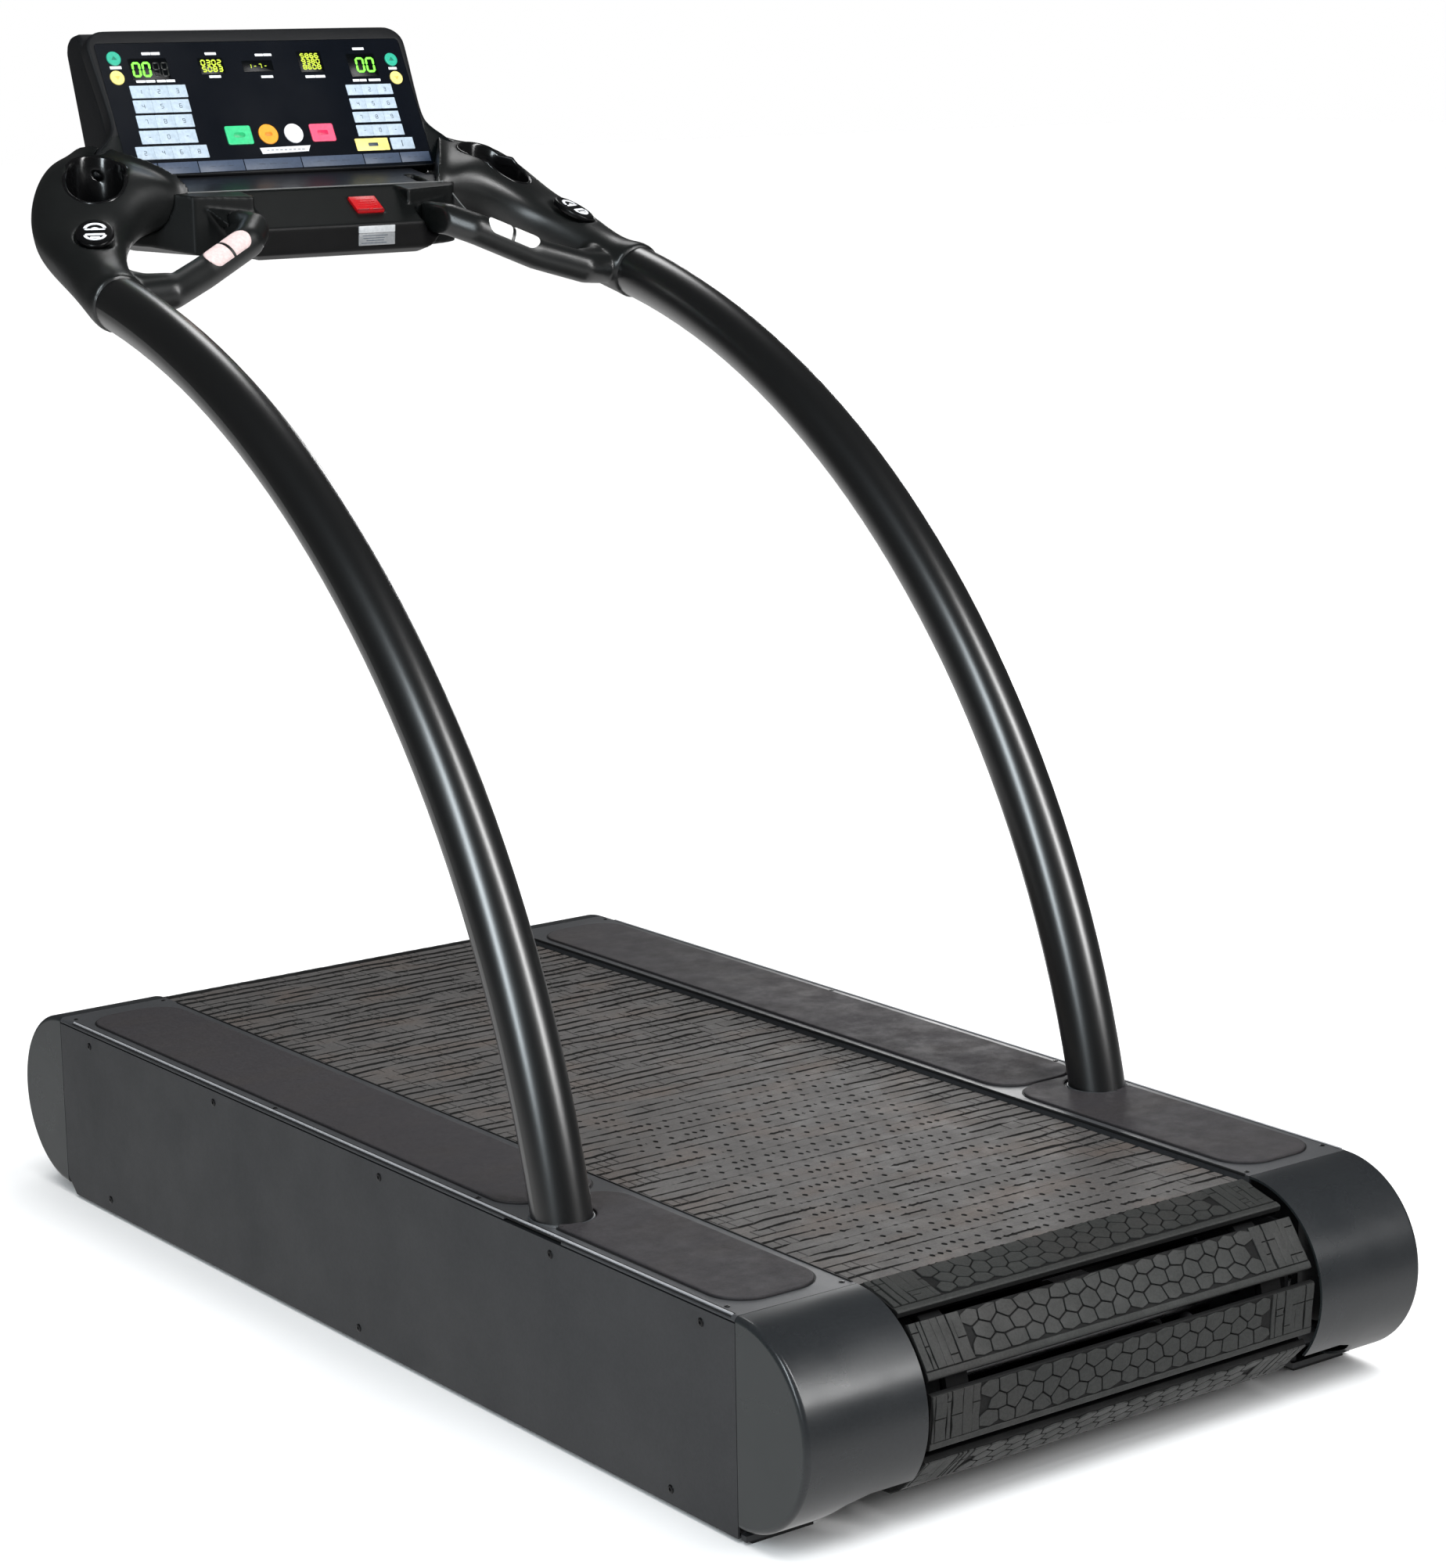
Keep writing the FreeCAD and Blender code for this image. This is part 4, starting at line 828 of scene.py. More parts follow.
NR = 540
outer = polar(chaikin(OUT, 3), 0.0, 82.0, NR)
inner_ = polar([(x, y + 82.0) for x, y in rrect(482, 198, 6, 8)], 0.0, 82.0, NR)


def toward(pts, d):
    o = []
    for x, y in pts:
        l = math.hypot(x, y - 82.0)
        o.append((x - x / l * d, y - (y - 82.0) / l * d))
    return o


hg = Geo()
rings = []
R_EDGE = 5.0
for pts, n_ in ((toward(outer, 3.0), -20.0), (toward(outer, 0.6), -19.2), (outer, -17.5), (outer, 1.5 - R_EDGE)):
    rings.append([scr(u, v, n_) for u, v in pts])
for k in range(1, 7):
    a = math.radians(90.0 * k / 6)
    rings.append([scr(u, v, 1.5 - R_EDGE + R_EDGE * math.sin(a)) for u, v in toward(outer, R_EDGE * (1 - math.cos(a)))])
for f in (0.5, 0.93):
    e = toward(outer, R_EDGE)
    rings.append([scr(u + (iu - u) * f, v + (iv - v) * f, 1.5 + 0.1 * f) for (u, v), (iu, iv) in zip(e, inner_)])
rings.append([scr(iu, iv, 1.45) for iu, iv in inner_])
rings.append([scr(iu, iv, -0.2) for iu, iv in inner_])
n_rings = len(rings)
hv = [p for r in rings for p in r]
hf, hm = [], []
ang_uv = [(u, v) for u, v in outer]
for k in range(n_rings - 1):
    for i in range(NR):
        j = (i + 1) % NR
        hf.append((k * NR + i, k * NR + j, (k + 1) * NR + j, (k + 1) * NR + i))
        u, v = ang_uv[i]
        flare = abs(u) > 250 and v < 44
        hm.append(1 if flare and k >= 9 else 0)
hf.append(tuple(range(NR - 1, -1, -1)))
hm.append(0)
hf.append(tuple((n_rings - 1) * NR + i for i in range(NR)))
hm.append(0)
hg.add(hv, hf)
hg.m = hm
head = hg.obj("console_front_shell", "frame", ["console_plastic", "flare_gloss"], "console_plastic", 50.0)
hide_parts("console_housing")


def rounded_hull(node, name, mat, width, seg):
    src = NODES[node]
    bm = bmesh.new()
    for v in src.data.vertices:
        bm.verts.new(v.co)
    bmesh.ops.remove_doubles(bm, verts=bm.verts, dist=0.0002)
    bmesh.ops.convex_hull(bm, input=bm.verts)
    bmesh.ops.dissolve_limit(bm, angle_limit=math.radians(3.0), verts=bm.verts, edges=bm.edges)
    loose = [v for v in bm.verts if not v.link_faces]
    bmesh.ops.delete(bm, geom=loose, context="VERTS")
    es = [e for e in bm.edges if len(e.link_faces) == 2 and e.calc_face_angle() > math.radians(14)]
    bmesh.ops.bevel(bm, geom=es, offset=width, segments=seg, profile=0.5, affect="EDGES", clamp_overlap=True)
    bmesh.ops.recalc_face_normals(bm, faces=bm.faces)
    me = bpy.data.meshes.new(name)
    bm.to_mesh(me)
    bm.free()
    me.materials.append(MAT[mat])
    me.shade_smooth()
    me.set_sharp_from_angle(angle=math.radians(30))
    o = bpy.data.objects.new(name, me)
    SC.collection.objects.link(o)
    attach(o, "frame")
    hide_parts(node)
    return o


back_shell = rounded_hull("console_back", "console_back_shell", "console_plastic", 0.007, 4)

# vents on the back shell
bg = Geo()
BV = Vector((0, 27.0, 68.0)).normalized()
BN = Vector((0, 68.0, -27.0)).normalized()
for i in range(7):
    w0 = 8.0 + i * 8.5
    pts = rrect(130, 3.2, 1.5, 4)

    def back_at(u, v, n, w0=w0):
        q = Vector((0, 1734.0, 1458.0)) + BV * (w0 + v) + BN * n
        return P(u, q.y, q.z)
    # the vent slots are painted black as the shade inside them
    add_raised(bg, back_at, pts, -1.0, 0.45, 0.3, 0)
bg.obj("console_back_vents", "frame", ["gap_painted_shadow"], "screw_black")

# --------------------------------------------------------------------------
# Console face: windows, digits, key blocks, keys
# --------------------------------------------------------------------------
og = Geo()
OM = ["key_grey", "mark_dark", "mark_white", "window", "led_green", "led_lime", "key_slate", "key_yellow", "led_dim", "key_slate_line"]
N0 = 1.2


def slab(u0, u1, v0, v1, mi, h=0.7, r=1.0, skew=0.0, n0=N0 - 0.2):
    pts = [(x + (u0 + u1) / 2 + skew * y, y + (v0 + v1) / 2) for x, y in rrect(abs(u1 - u0), abs(v1 - v0), r, 4)]
    add_raised(og, scr, pts, n0, N0 + h, 0.25, mi)


SEG = {"0": "abcdef", "1": "bc", "2": "abged", "3": "abgcd", "4": "fgbc", "5": "afgcd", "6": "afgedc", "7": "abc", "8": "abcdefg", "9": "abfgcd", "-": "g"}


def seg_digit(g, place, u, v, w, h, ch, t, n0, n1, mi, lean=0.0):
    """Seven-bar figure with its lower left corner at u, v."""
    def bar(x0, y0, x1, y1):
        dx, dy = x1 - x0, y1 - y0
        l = math.hypot(dx, dy)
        ex, ey = dx / l, dy / l
        nx, ny = -ey, ex
        k = t / 2
        pts = [(x0, y0), (x0 + ex * k + nx * k, y0 + ey * k + ny * k), (x1 - ex * k + nx * k, y1 - ey * k + ny * k), (x1, y1), (x1 - ex * k - nx * k, y1 - ey * k - ny * k), (x0 + ex * k - nx * k, y0 + ey * k - ny * k)]
        pts = [(u + x + lean * y, v + y) for x, y in reversed(pts)]
        add_raised(g, place, pts, n0, n1, min(0.12, t * 0.2), mi)
    m = h / 2
    segs = {"a": (0, h, w, h), "b": (w, h, w, m), "c": (w, m, w, 0), "d": (0, 0, w, 0), "e": (0, m, 0, 0), "f": (0, h, 0, m), "g": (0, m, w, m)}
    for c in SEG[ch]:
        bar(*segs[c])


# left key block, five rows
left_rows = [(-205, -119.5, 98.3, 117), (-206, -121, 76.2, 95.3), (-207.8, -122.2, 53.9, 72.8), (-209.3, -123.7, 30.4, 50.2), (-222, -113, 7.5, 26.7)]
marks = [["1", "2", "3"], ["4", "5", "6"], ["7", "8", "9"], ["-", "0", "-"], ["2", "4", "6", "8"]]
for (u0, u1, v0, v1), mk in zip(left_rows, marks):
    k = len(mk)
    w = (u1 - u0) / k
    for i, ch in enumerate(mk):
        a, b = u0 + w * i, u0 + w * (i + 1)
        slab(a + (0.0 if i == 0 else -0.1), b + 0.1, v0, v1, 0, 0.7, 0.9)
        seg_digit(og, scr, (a + b) / 2 - 1.8, (v0 + v1) / 2 - 3.0, 3.6, 6.0, ch, 0.75, N0 + 0.6, N0 + 0.85, 1)
        if i:
            slab(a - 0.18, a + 0.18, v0 + 2.0, v1 - 2.0, 1, 0.74, 0.1)
right_rows = [(133, 207.3, 94.3, 110.4), (132.5, 206.7, 72.5, 89.2), (131.4, 206.3, 52, 68.3), (130.8, 206.2, 31.1, 48)]
marks = [["1", "2", "3"], ["4", "5", "6"], ["7", "8", "9"], ["-", "0", "-"]]
for (u0, u1, v0, v1), mk in zip(right_rows, marks):
    w = (u1 - u0) / 3
    for i, ch in enumerate(mk):
        a, b = u0 + w * i, u0 + w * (i + 1)
        slab(a - 0.1, b + 0.1, v0, v1, 0, 0.7, 0.9)
        seg_digit(og, scr, (a + b) / 2 - 1.6, (v0 + v1) / 2 - 2.8, 3.2, 5.6, ch, 0.75, N0 + 0.6, N0 + 0.85, 1)
        if i:
            slab(a - 0.18, a + 0.18, v0 + 2.0, v1 - 2.0, 1, 0.74, 0.1)
slab(122, 175.4, 8.5, 27.3, 7, 0.8, 1.2)
slab(142, 158, 15.0, 20.5, 1, 0.95, 1.4)
slab(179.6, 216.8, 9, 27, 0, 0.8, 1.2)
slab(197.0, 198.4, 13.0, 23.0, 1, 0.92, 0.4)

# windows and figures
slab(-196.5, -137.5, 126.0, 157.4, 3, 0.35, 2.0)
slab(148.0, 193.5, 122.5, 158.0, 3, 0.35, 2.0)
for u in (-192.3, -177.0):
    seg_digit(og, scr, u, 131.0, 10.0, 19.6, "0", 3.3, N0 + 0.25, N0 + 0.75, 4, 0.06)
for u in (-161.0, -148.0):
    seg_digit(og, scr, u, 131.0, 8.5, 19.6, "8", 2.2, N0 + 0.25, N0 + 0.5, 8, 0.06)
for u in (160.5, 177.0):
    seg_digit(og, scr, u, 130.4, 11.0, 20.2, "0", 3.3, N0 + 0.25, N0 + 0.75, 4, 0.06)
slab(-89.5, -51.0, 132.0, 156.5, 3, 0.35, 1.6)
for j, vv in enumerate((135.6, 145.4)):
    for i, ch in enumerate("0302" if j else "5083"):
        seg_digit(og, scr, -85.6 + i * 8.4, vv, 5.4, 7.2, ch, 2.0, N0 + 0.25, N0 + 0.7, 5, 0.05)
slab(-22.0, 26.0, 134.0, 151.0, 3, 0.35, 1.6)
for i, ch in enumerate("1-7-"):
    seg_digit(og, scr, -12.5 + i * 8.2, 139.0, 3.6, 6.4, ch, 1.1, N0 + 0.25, N0 + 0.6, 5, 0.05)
slab(68.5, 107.0, 131.5, 163.5, 3, 0.35, 1.6)
for j, vv in enumerate((136.0, 144.6, 153.2)):
    for i, ch in enumerate(("8608", "9380", "5866")[j]):
        seg_digit(og, scr, 73.8 + i * 7.6, vv, 5.0, 6.2, ch, 1.8, N0 + 0.25, N0 + 0.7, 5, 0.05)

# plain label bars, in two or three short runs each
for u0, u1, v, h in ((-226, -208, 144.6, 4.5), (-172.8, -144.3, 164.5, 4.2), (-192.4, -162.7, 123.3, 3.8), (-160.8, -132.5, 123.3, 3.8),
                     (-75.8, -57.6, 162.7, 4.0), (-78.7, -59.8, 128.0, 4.0), (2.1, 28.8, 159.3, 3.8), (2.5, 21.8, 126.0, 3.8),
                     (72.7, 105.1, 124.5, 4.0), (211.6, 225.6, 134.3, 4.0), (161.4, 180.6, 165.8, 4.0), (147.4, 170.3, 117.0, 3.8), (173.4, 193.4, 117.0, 3.8)):
    n = max(1, int((u1 - u0) / 11))
    w = (u1 - u0) / n
    for i in range(n):
        slab(u0 + w * i + 0.25, u0 + w * (i + 1) - 0.25, v - h / 2, v + h / 2, 2, 0.25, 0.6)
add_raised(og, scr, [(-31.8, 18.9), (-29.5, 9.6), (43.8, 11.5), (49.1, 20.3)], N0 - 0.2, N0 + 0.4, 0.25, 2)
for i in range(9):
    slab(-22 + i * 7.0, -17.5 + i * 7.0, 14.2, 15.6, 1, 0.46, 0.3)

# bottom key row
seps = [-237.3, -195.1, -133.8, -62.7, 27.9, 128.4, 188.4, 238.2]
for a, b in zip(seps[:-1], seps[1:]):
    ta, tb = 2.0 + 2.5 * (a + 237.3) / 475.5, 2.0 + 2.5 * (b + 237.3) / 475.5
    la, lb = -15.0 + 4.4 * (a + 237.3) / 475.5, -15.0 + 4.4 * (b + 237.3) / 475.5
    a2 = a + 0.7
    b2 = b - 0.7
    add_raised(og, scr, [(a2, ta), (-219 + 0.7 if a < -230 else a2, la), (b2, lb), (b2, tb)], N0 - 0.2, N0 + 0.45, 0.25, 6)
    for q in range(3):
        x0 = a2 + (b2 - a2) * (0.24 + 0.2 * q)
        slab(x0, x0 + (b2 - a2) * 0.12, (ta + la) / 2 - 0.5, (ta + la) / 2 + 0.5, 9, 0.5, 0.3)
og.obj("console_face_marks", "frame", OM, "key_white", 30.0)

KEYS = {
    "incline_up_key": ("disc", -216.5, 158.0, 10.5, 0, "key_teal", "up"),
    "incline_down_key": ("disc", -219.0, 129.5, 10.5, 0, "key_yellow", "down"),
    "speed_up_key": ("disc", 220.0, 148.0, 10.0, 0, "key_teal", "up"),
    "speed_down_key": ("disc", 220.0, 119.5, 10.0, 0, "key_yellow", "down"),
    "start_key": ("rect", -58.2, 39.0, 40.0, 28.0, "key_green", "go"),
    "pause_key": ("disc", -12.3, 39.0, 15.0, 0, "key_orange", "bars"),
    "enter_key": ("disc", 28.0, 39.0, 14.5, 0, "key_white", "ring"),
    "stop_key": ("rect", 74.0, 38.7, 38.0, 27.0, "key_red", "square"),
}
ICON_MAT = {"key_teal": "icon_teal", "key_yellow": "icon_yellow", "key_green": "icon_green", "key_orange": "icon_orange", "key_white": "icon_white", "key_red": "icon_red"}


def disc_pts(u, v, r, n=40):
    return [(u + r * math.cos(2 * math.pi * k / n), v + r * math.sin(2 * math.pi * k / n)) for k in range(n)]


for name, (kind, u, v, a, b, mat, icon) in KEYS.items():
    g = Geo()
    pts = disc_pts(u, v, a) if kind == "disc" else [(x + u, y + v) for x, y in rrect(a, b, 3.0, 5)]
    q1, q2, q3 = inset(pts, 0.25), inset(pts, 0.9), inset(pts, 2.2)
    rr = [[scr(x, y, -5.5) for x, y in pts], [scr(x, y, 1.7) for x, y in pts], [scr(x, y, 2.25) for x, y in q1], [scr(x, y, 2.5) for x, y in q2], [scr(x, y, 2.42) for x, y in q3]]
    g.prism(rr[0], rr[-1], rr[1:-1], 0)
    if icon in ("up", "down"):
        s = 1 if icon == "up" else -1
        tri = [(u - 4.2, v - 2.2 * s), (u + 4.2, v - 2.2 * s), (u, v + 3.8 * s)]
        if s < 0:
            tri = tri[::-1]
        add_raised(g, scr, tri, 2.2, 2.62, 0.15, 1)
    elif icon == "go":
        add_raised(g, scr, [(x + u, y + v) for x, y in rrect(18, 7.5, 3.7, 6)], 2.2, 2.56, 0.15, 1)
    elif icon == "square":
        add_raised(g, scr, [(x + u, y + v) for x, y in rrect(17, 7.0, 2.0, 6)], 2.2, 2.56, 0.15, 1)
    elif icon == "bars":
        add_raised(g, scr, [(x + u, y + v) for x, y in rrect(12, 6.0, 3.0, 6)], 2.2, 2.56, 0.15, 1)
    else:
        add_raised(g, scr, [(x + u, y + v) for x, y in rrect(9, 4.0, 2.0, 6)], 2.2, 2.56, 0.15, 1)
    o = g.obj(name + "_cap", name, [mat, ICON_MAT[mat]], mat, 40.0)
    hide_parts(name)

# --------------------------------------------------------------------------
# Sloping fascia: stop tag, label plate, light trim line
# --------------------------------------------------------------------------
FA, FB = Vector((0, 1518.0, 1343.0)), Vector((0, 1448.0, 1294.0))
FT = (FB - FA).normalized()
FN = Vector((0, -FT.z, FT.y))
if FN.z < 0:
    FN = -FN


def fas(u, w, n=0.0):
    q = FA + FT * w + FN * n
    return P(u, q.y, q.z)


tg = Geo()
add_raised(tg, lambda u, v, n: fas(u, -v, n), [(x + 54.5, y - 44.0) for x, y in rrect(42, 33, 1.6, 4)], -2.2, 3.0, 0.8, 0)
add_raised(tg, lambda u, v, n: fas(u, -v, n), [(x + 54.5, y - 58.2) for x, y in rrect(41, 3.6, 1.2, 4)], 2.6, 3.8, 0.5, 1)
add_raised(tg, lambda u, v, n: fas(u, -v, n), [(x + 54.5, y - 57.8) for x, y in rrect(6, 2.6, 1.2, 4)], 3.4, 4.3, 0.4, 0)
for i in range(4):
    add_raised(tg, lambda u, v, n: fas(u, -v, n), [(x + 54.5, y - 36.0 - i * 4.4) for x, y in rrect(28, 1.4, 0.6, 3)], 2.7, 3.35, 0.25, 0)
o = tg.obj("stop_tag", "estop_tag", ["tag_red", "tag_dark"], "tag_red", 35.0)
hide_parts("estop_tag")

lg = Geo()
LY = 1447.6


def low(u, v, n):
    # lower panel leans very slightly
    return P(u, LY + (1294.0 - v) * (3.0 / 37.0) - n, v)


add_raised(lg, low, [(x + 50.0, y + 1286.6) for x, y in rrect(57, 9.6, 1.0, 4)][::-1], -0.6, 1.5, 0.4, 0)
add_raised(lg, low, [(x + 50.0, y + 1273.2) for x, y in rrect(57, 16.4, 1.0, 4)][::-1], -0.6, 1.3, 0.4, 1)
for i in range(4):
    add_raised(lg, low, [(x + 47.0 - 2 * (i % 2), y + 1278.2 - i * 3.3) for x, y in rrect(40 - 6 * (i % 3), 0.9, 0.4, 2)][::-1], 1.2, 1.45, 0.1, 2)
lg.obj("label_plate", "frame", ["plate_light", "plate_mid", "mark_dark"], "box_grey", 35.0)


def sweep(g, pts, r, n=10, mi=0, up=Vector((0, 0, 1))):
    """Round bead along a list of points (metres)."""
    rings = []
    for i, p in enumerate(pts):
        t = (pts[min(i + 1, len(pts) - 1)] - pts[max(i - 1, 0)]).normalized()
        a = t.cross(up)
        if a.length < 1e-6:
            a = t.cross(Vector((1, 0, 0)))
        a.normalize()
        b = t.cross(a).normalized()
        rings.append(tube_ring(p, a, b, r, n))
    g.prism(rings[0], rings[-1], rings[1:-1], mi)


def smooth_path(pts, per=8):
    """Catmull-Rom through the points."""
    out = []
    n = len(pts)
    for i in range(n - 1):
        p0, p1, p2, p3 = pts[max(i - 1, 0)], pts[i], pts[i + 1], pts[min(i + 2, n - 1)]
        for k in range(per):
            t = k / per
            out.append(0.5 * ((2 * p1) + (p2 - p0) * t + (2 * p0 - 5 * p1 + 4 * p2 - p3) * t * t + (3 * p1 - p0 - 3 * p2 + p3) * t ** 3))
    out.append(pts[-1])
    return out


tl = Geo()
edge_pts = [P(x, 1517.2, 1343.2) for x in (-200, -120, -40, 40, 120, 196, 200.5)] + [P(203.0, 1506, 1335.5), P(203.4, 1490, 1324), P(204.0, 1470, 1310), P(206.0, 1452, 1299), P(210.0, 1442, 1292)]
sweep(tl, smooth_path(edge_pts, 6), 0.0011, 8)
tl.obj("fascia_trim", "frame", ["trim_line"], "console_plastic", 60.0)

# --------------------------------------------------------------------------
# Heart-rate pads on the grips
# --------------------------------------------------------------------------
GP, GQ = Vector((259, 1375, 1246)), Vector((179, 1397, 1282))
GD = (GQ - GP).normalized()


def pads(side):
    g = Geo()
    fd = Vector((0, -0.62, 0.78))
    fd = (fd - GD * fd.dot(GD)).normalized()
    sv = GD.cross(fd).normalized()
    for s0, s1, round_at in ((4.0, 41.0, 0), (46.0, 83.0, 1)):
        ns, nf = 22, 18
        top, bot = [], []
        for i in range(ns + 1):
            t = i / ns
            s = s0 + (s1 - s0) * t
            d = (s - s0) if round_at == 0 else (s1 - s)
            w = 44.0
            rr = 14.0
            if d < rr:
                w = 44.0 * math.sqrt(max(0.03, 1 - (1 - d / rr) ** 2))
            for lst, rad in ((top, 22.75), (bot, 20.8)):
                row = []
                for j in range(nf + 1):
                    q = -1 + 2 * j / nf
                    ph = math.radians(w * q)
                    edge = min(1.0, (1 - abs(q)) * w / 6.0, d / 1.2 + 0.15, (s1 - s if round_at == 0 else s - s0) / 1.2 + 0.15)
                    r = rad - (0.9 * (1 - smooth01(edge)) if rad > 22 else 0)
                    p = GP + GD * s + (fd * math.cos(ph) + sv * math.sin(ph)) * r
                    row.append(P(side * p.x, p.y, p.z))
                lst.append(row)
        nv = nf + 1
        v = [p for r in top for p in r] + [p for r in bot for p in r]
        nb = (ns + 1) * nv
        f = []
        for i in range(ns):
            for j in range(nf):
                a = i * nv + j
                f.append((a, a + 1, a + nv + 1, a + nv))
                f.append((nb + a, nb + a + nv, nb + a + nv + 1, nb + a + 1))
            f.append((i * nv, (i + 1) * nv, nb + (i + 1) * nv, nb + i * nv))
            f.append((i * nv + nf, nb + i * nv + nf, nb + (i + 1) * nv + nf, (i + 1) * nv + nf))
        for i in (0, ns):
            for j in range(nf):
                a = i * nv + j
                f.append((a, a + 1, nb + a + 1, nb + a))
        g.add(v, f)
    return g


# left pads take the darker warm tone, right pads the lighter: painted light and shade on one pad finish
pl = pads(-1).obj("pulse_pads_left", "frame", ["pad_warm"], "pad_metal", 50.0)
pr_ = pads(1).obj("pulse_pads_right", "frame", ["pad_light"], "pad_metal", 50.0)
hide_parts("grip_pads")

# --------------------------------------------------------------------------
# Quick keys on the arms: domed oval with two plain arched symbols
# --------------------------------------------------------------------------
POD = Vector((374, 1449, 1296))
PT = Vector((-23, 44, 27)).normalized()
PH = Vector((0.885, 0.466, 0))
PH = (PH - PT * PH.dot(PT)).normalized()
PN = PH.cross(PT)
if PN.z < 0:
    PN = -PN


def quick(side, body):
    g = Geo()

    def at(t, h, n):
        p = POD + PT * t + PH * h + PN * n
        return P(side * p.x, p.y, p.z)

    N = 64
    rings = []
    for sc, n in ((0.86, -1.6), (0.97, -0.6), (1.0, 0.8), (1.0, 5.4), (0.985, 6.3), (0.95, 6.95), (0.88, 7.3), (0.6, 7.5), (0.25, 7.55)):
        rings.append([at(32.5 * sc * math.cos(2 * math.pi * k / N), 24.5 * sc * math.sin(2 * math.pi * k / N), n) for k in range(N)])
    g.prism(rings[0], rings[-1], rings[1:-1], 0)

    def band(t0, h0, ro, ri, a0, a1, mi, n=18, sq=1.0):
        out = []
        for k in range(n + 1):
            a = math.radians(a0 + (a1 - a0) * k / n)
            out.append((t0 + ro * sq * math.sin(a), h0 + ro * math.cos(a)))
        inn = []
        for k in range(n + 1):
            a = math.radians(a1 + (a0 - a1) * k / n)
            inn.append((t0 + ri * sq * math.sin(a), h0 + ri * math.cos(a)))
        # quads strip, closed solid
        m = n + 1
        v = []
        for pts, nn in ((out, 7.2), (inn[::-1], 7.2), (out, 7.95), (inn[::-1], 7.95)):
            v += [at(t, h, nn) for t, h in pts]
        f = []
        for k in range(n):
            f += [(k, k + 1, m + k + 1, m + k), (2 * m + k, 3 * m + k, 3 * m + k + 1, 2 * m + k + 1), (k, 2 * m + k, 2 * m + k + 1, k + 1), (m + k, m + k + 1, 3 * m + k + 1, 3 * m + k)]
        f += [(0, m, 3 * m, 2 * m), (n, 2 * m + n, 3 * m + n, m + n)]
        g.add(v, f, mi)

    # far symbol: dome with a bar; near symbol: bowl with a lens
    band(6.5, 0.0, 15.0, 10.6, 8, 172, 1, sq=0.95)
    band(5.6, 0.0, 5.0, 0.4, 0, 180, 1, 12, sq=0.9)
    add_raised(g, lambda a, b, n: at(a, b, n), [(x * 0.28 + 5.4, y) for x, y in rrect(12, 27, 5.0, 4)], 7.2, 7.9, 0.2, 1)
    band(-7.6, 0.0, 15.0, 11.0, 188, 352, 1, sq=0.9)
    add_raised(g, lambda a, b, n: at(a, b, n), [(x - 7.0, y) for x, y in rrect(4.6, 26, 2.2, 4)], 7.2, 7.9, 0.2, 1)
    add_raised(g, lambda a, b, n: at(a, b, n), [(x - 14.0, y) for x, y in rrect(4.0, 13, 1.8, 4)], 7.2, 7.9, 0.2, 1)
    o = g.obj(body + "_cap", body, ["quick_black", "mark_white"], "quick_black", 40.0)
    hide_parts(body)


quick(-1, "quick_key_left")
quick(1, "quick_key_right")

# --------------------------------------------------------------------------
# Cup holder rims and floors
# --------------------------------------------------------------------------
from mathutils.bvhtree import BVHTree


def cup_outline(r, n=36):
    """Outline of the pocket grown to radius r, anticlockwise."""
    base = math.atan2(CUP_T[1], CUP_T[0])
    pts = []
    for sg in (1, -1):
        cx, cy = CUP_X + sg * CUP_T[0] * CUP_D, CUP_Y + sg * CUP_T[1] * CUP_D
        a0 = base - math.pi / 2 + (0 if sg > 0 else math.pi)
        for k in range(n + 1):
            a = a0 + math.pi * k / n
            pts.append((cx + r * math.cos(a), cy + r * math.sin(a)))
    return pts


def cup(side, arm_obj):
    dg = bpy.context.evaluated_depsgraph_get()
    tree = BVHTree.FromObject(arm_obj, dg)
    mid = cup_outline(42.2)
    N = len(mid)
    zs = []
    for x, y in mid:
        hit = tree.ray_cast(P(side * x, y, 1480), Vector((0, 0, -1)))
        zs.append(hit[0].z * 1000 if hit[0] else 1370.0)
    for _ in range(8):
        zs = [(zs[k - 1] + 2 * zs[k] + zs[(k + 1) % N]) / 4 for k in range(N)]
    g = Geo()
    prof = [(38.0, -12.0), (38.1, -3.0), (38.5, 0.2), (39.3, 1.3), (40.5, 1.8), (41.8, 1.4), (42.8, 0.4), (43.2, -1.6)]
    rings = [cup_outline(r) for r, h in prof]
    v, f = [], []
    m = len(prof)
    for k in range(N):
        for q, (r, h) in enumerate(prof):
            x, y = rings[q][k]
            v.append(P(side * x, y, zs[k] + h))
    for k in range(N):
        j = (k + 1) % N
        for q in range(m):
            p = (q + 1) % m
            f.append((k * m + q, j * m + q, j * m + p, k * m + p))
    g.add(v, f)
    # ribbed rubber floor
    fl = []
    for r, h in ((38.4, 0.3), (38.4, 2.2), (35.0, 2.6), (31.0, 1.8), (27.0, 2.6), (23.0, 1.8), (19.0, 2.6), (15.0, 1.8), (10.0, 2.6), (4.0, 2.2)):
        fl.append([P(side * x, y, 1302 + h) for x, y in cup_outline(r)])
    g.prism(fl[0], fl[-1], fl[1:-1], 1)
    g.obj("cup_rim_" + ("left" if side < 0 else "right"), "frame", ["cup_gloss", "foot_rubber"], "console_plastic", 50.0)


cup(-1, arm_l)
cup(1, arm_r)

# --------------------------------------------------------------------------
# Step mats with a rounded edge and a band painted black round them as the shadow in the seam
# --------------------------------------------------------------------------
ty = ARC_Y - math.sqrt(ARC_R ** 2 - (246 - ARC_Z) ** 2)


def stadium(x0, x1, y0, y1, r, n=14):
    return [((x0 + x1) / 2 + x, (y0 + y1) / 2 + y) for x, y in rrect(x1 - x0, y1 - y0, r, n)]


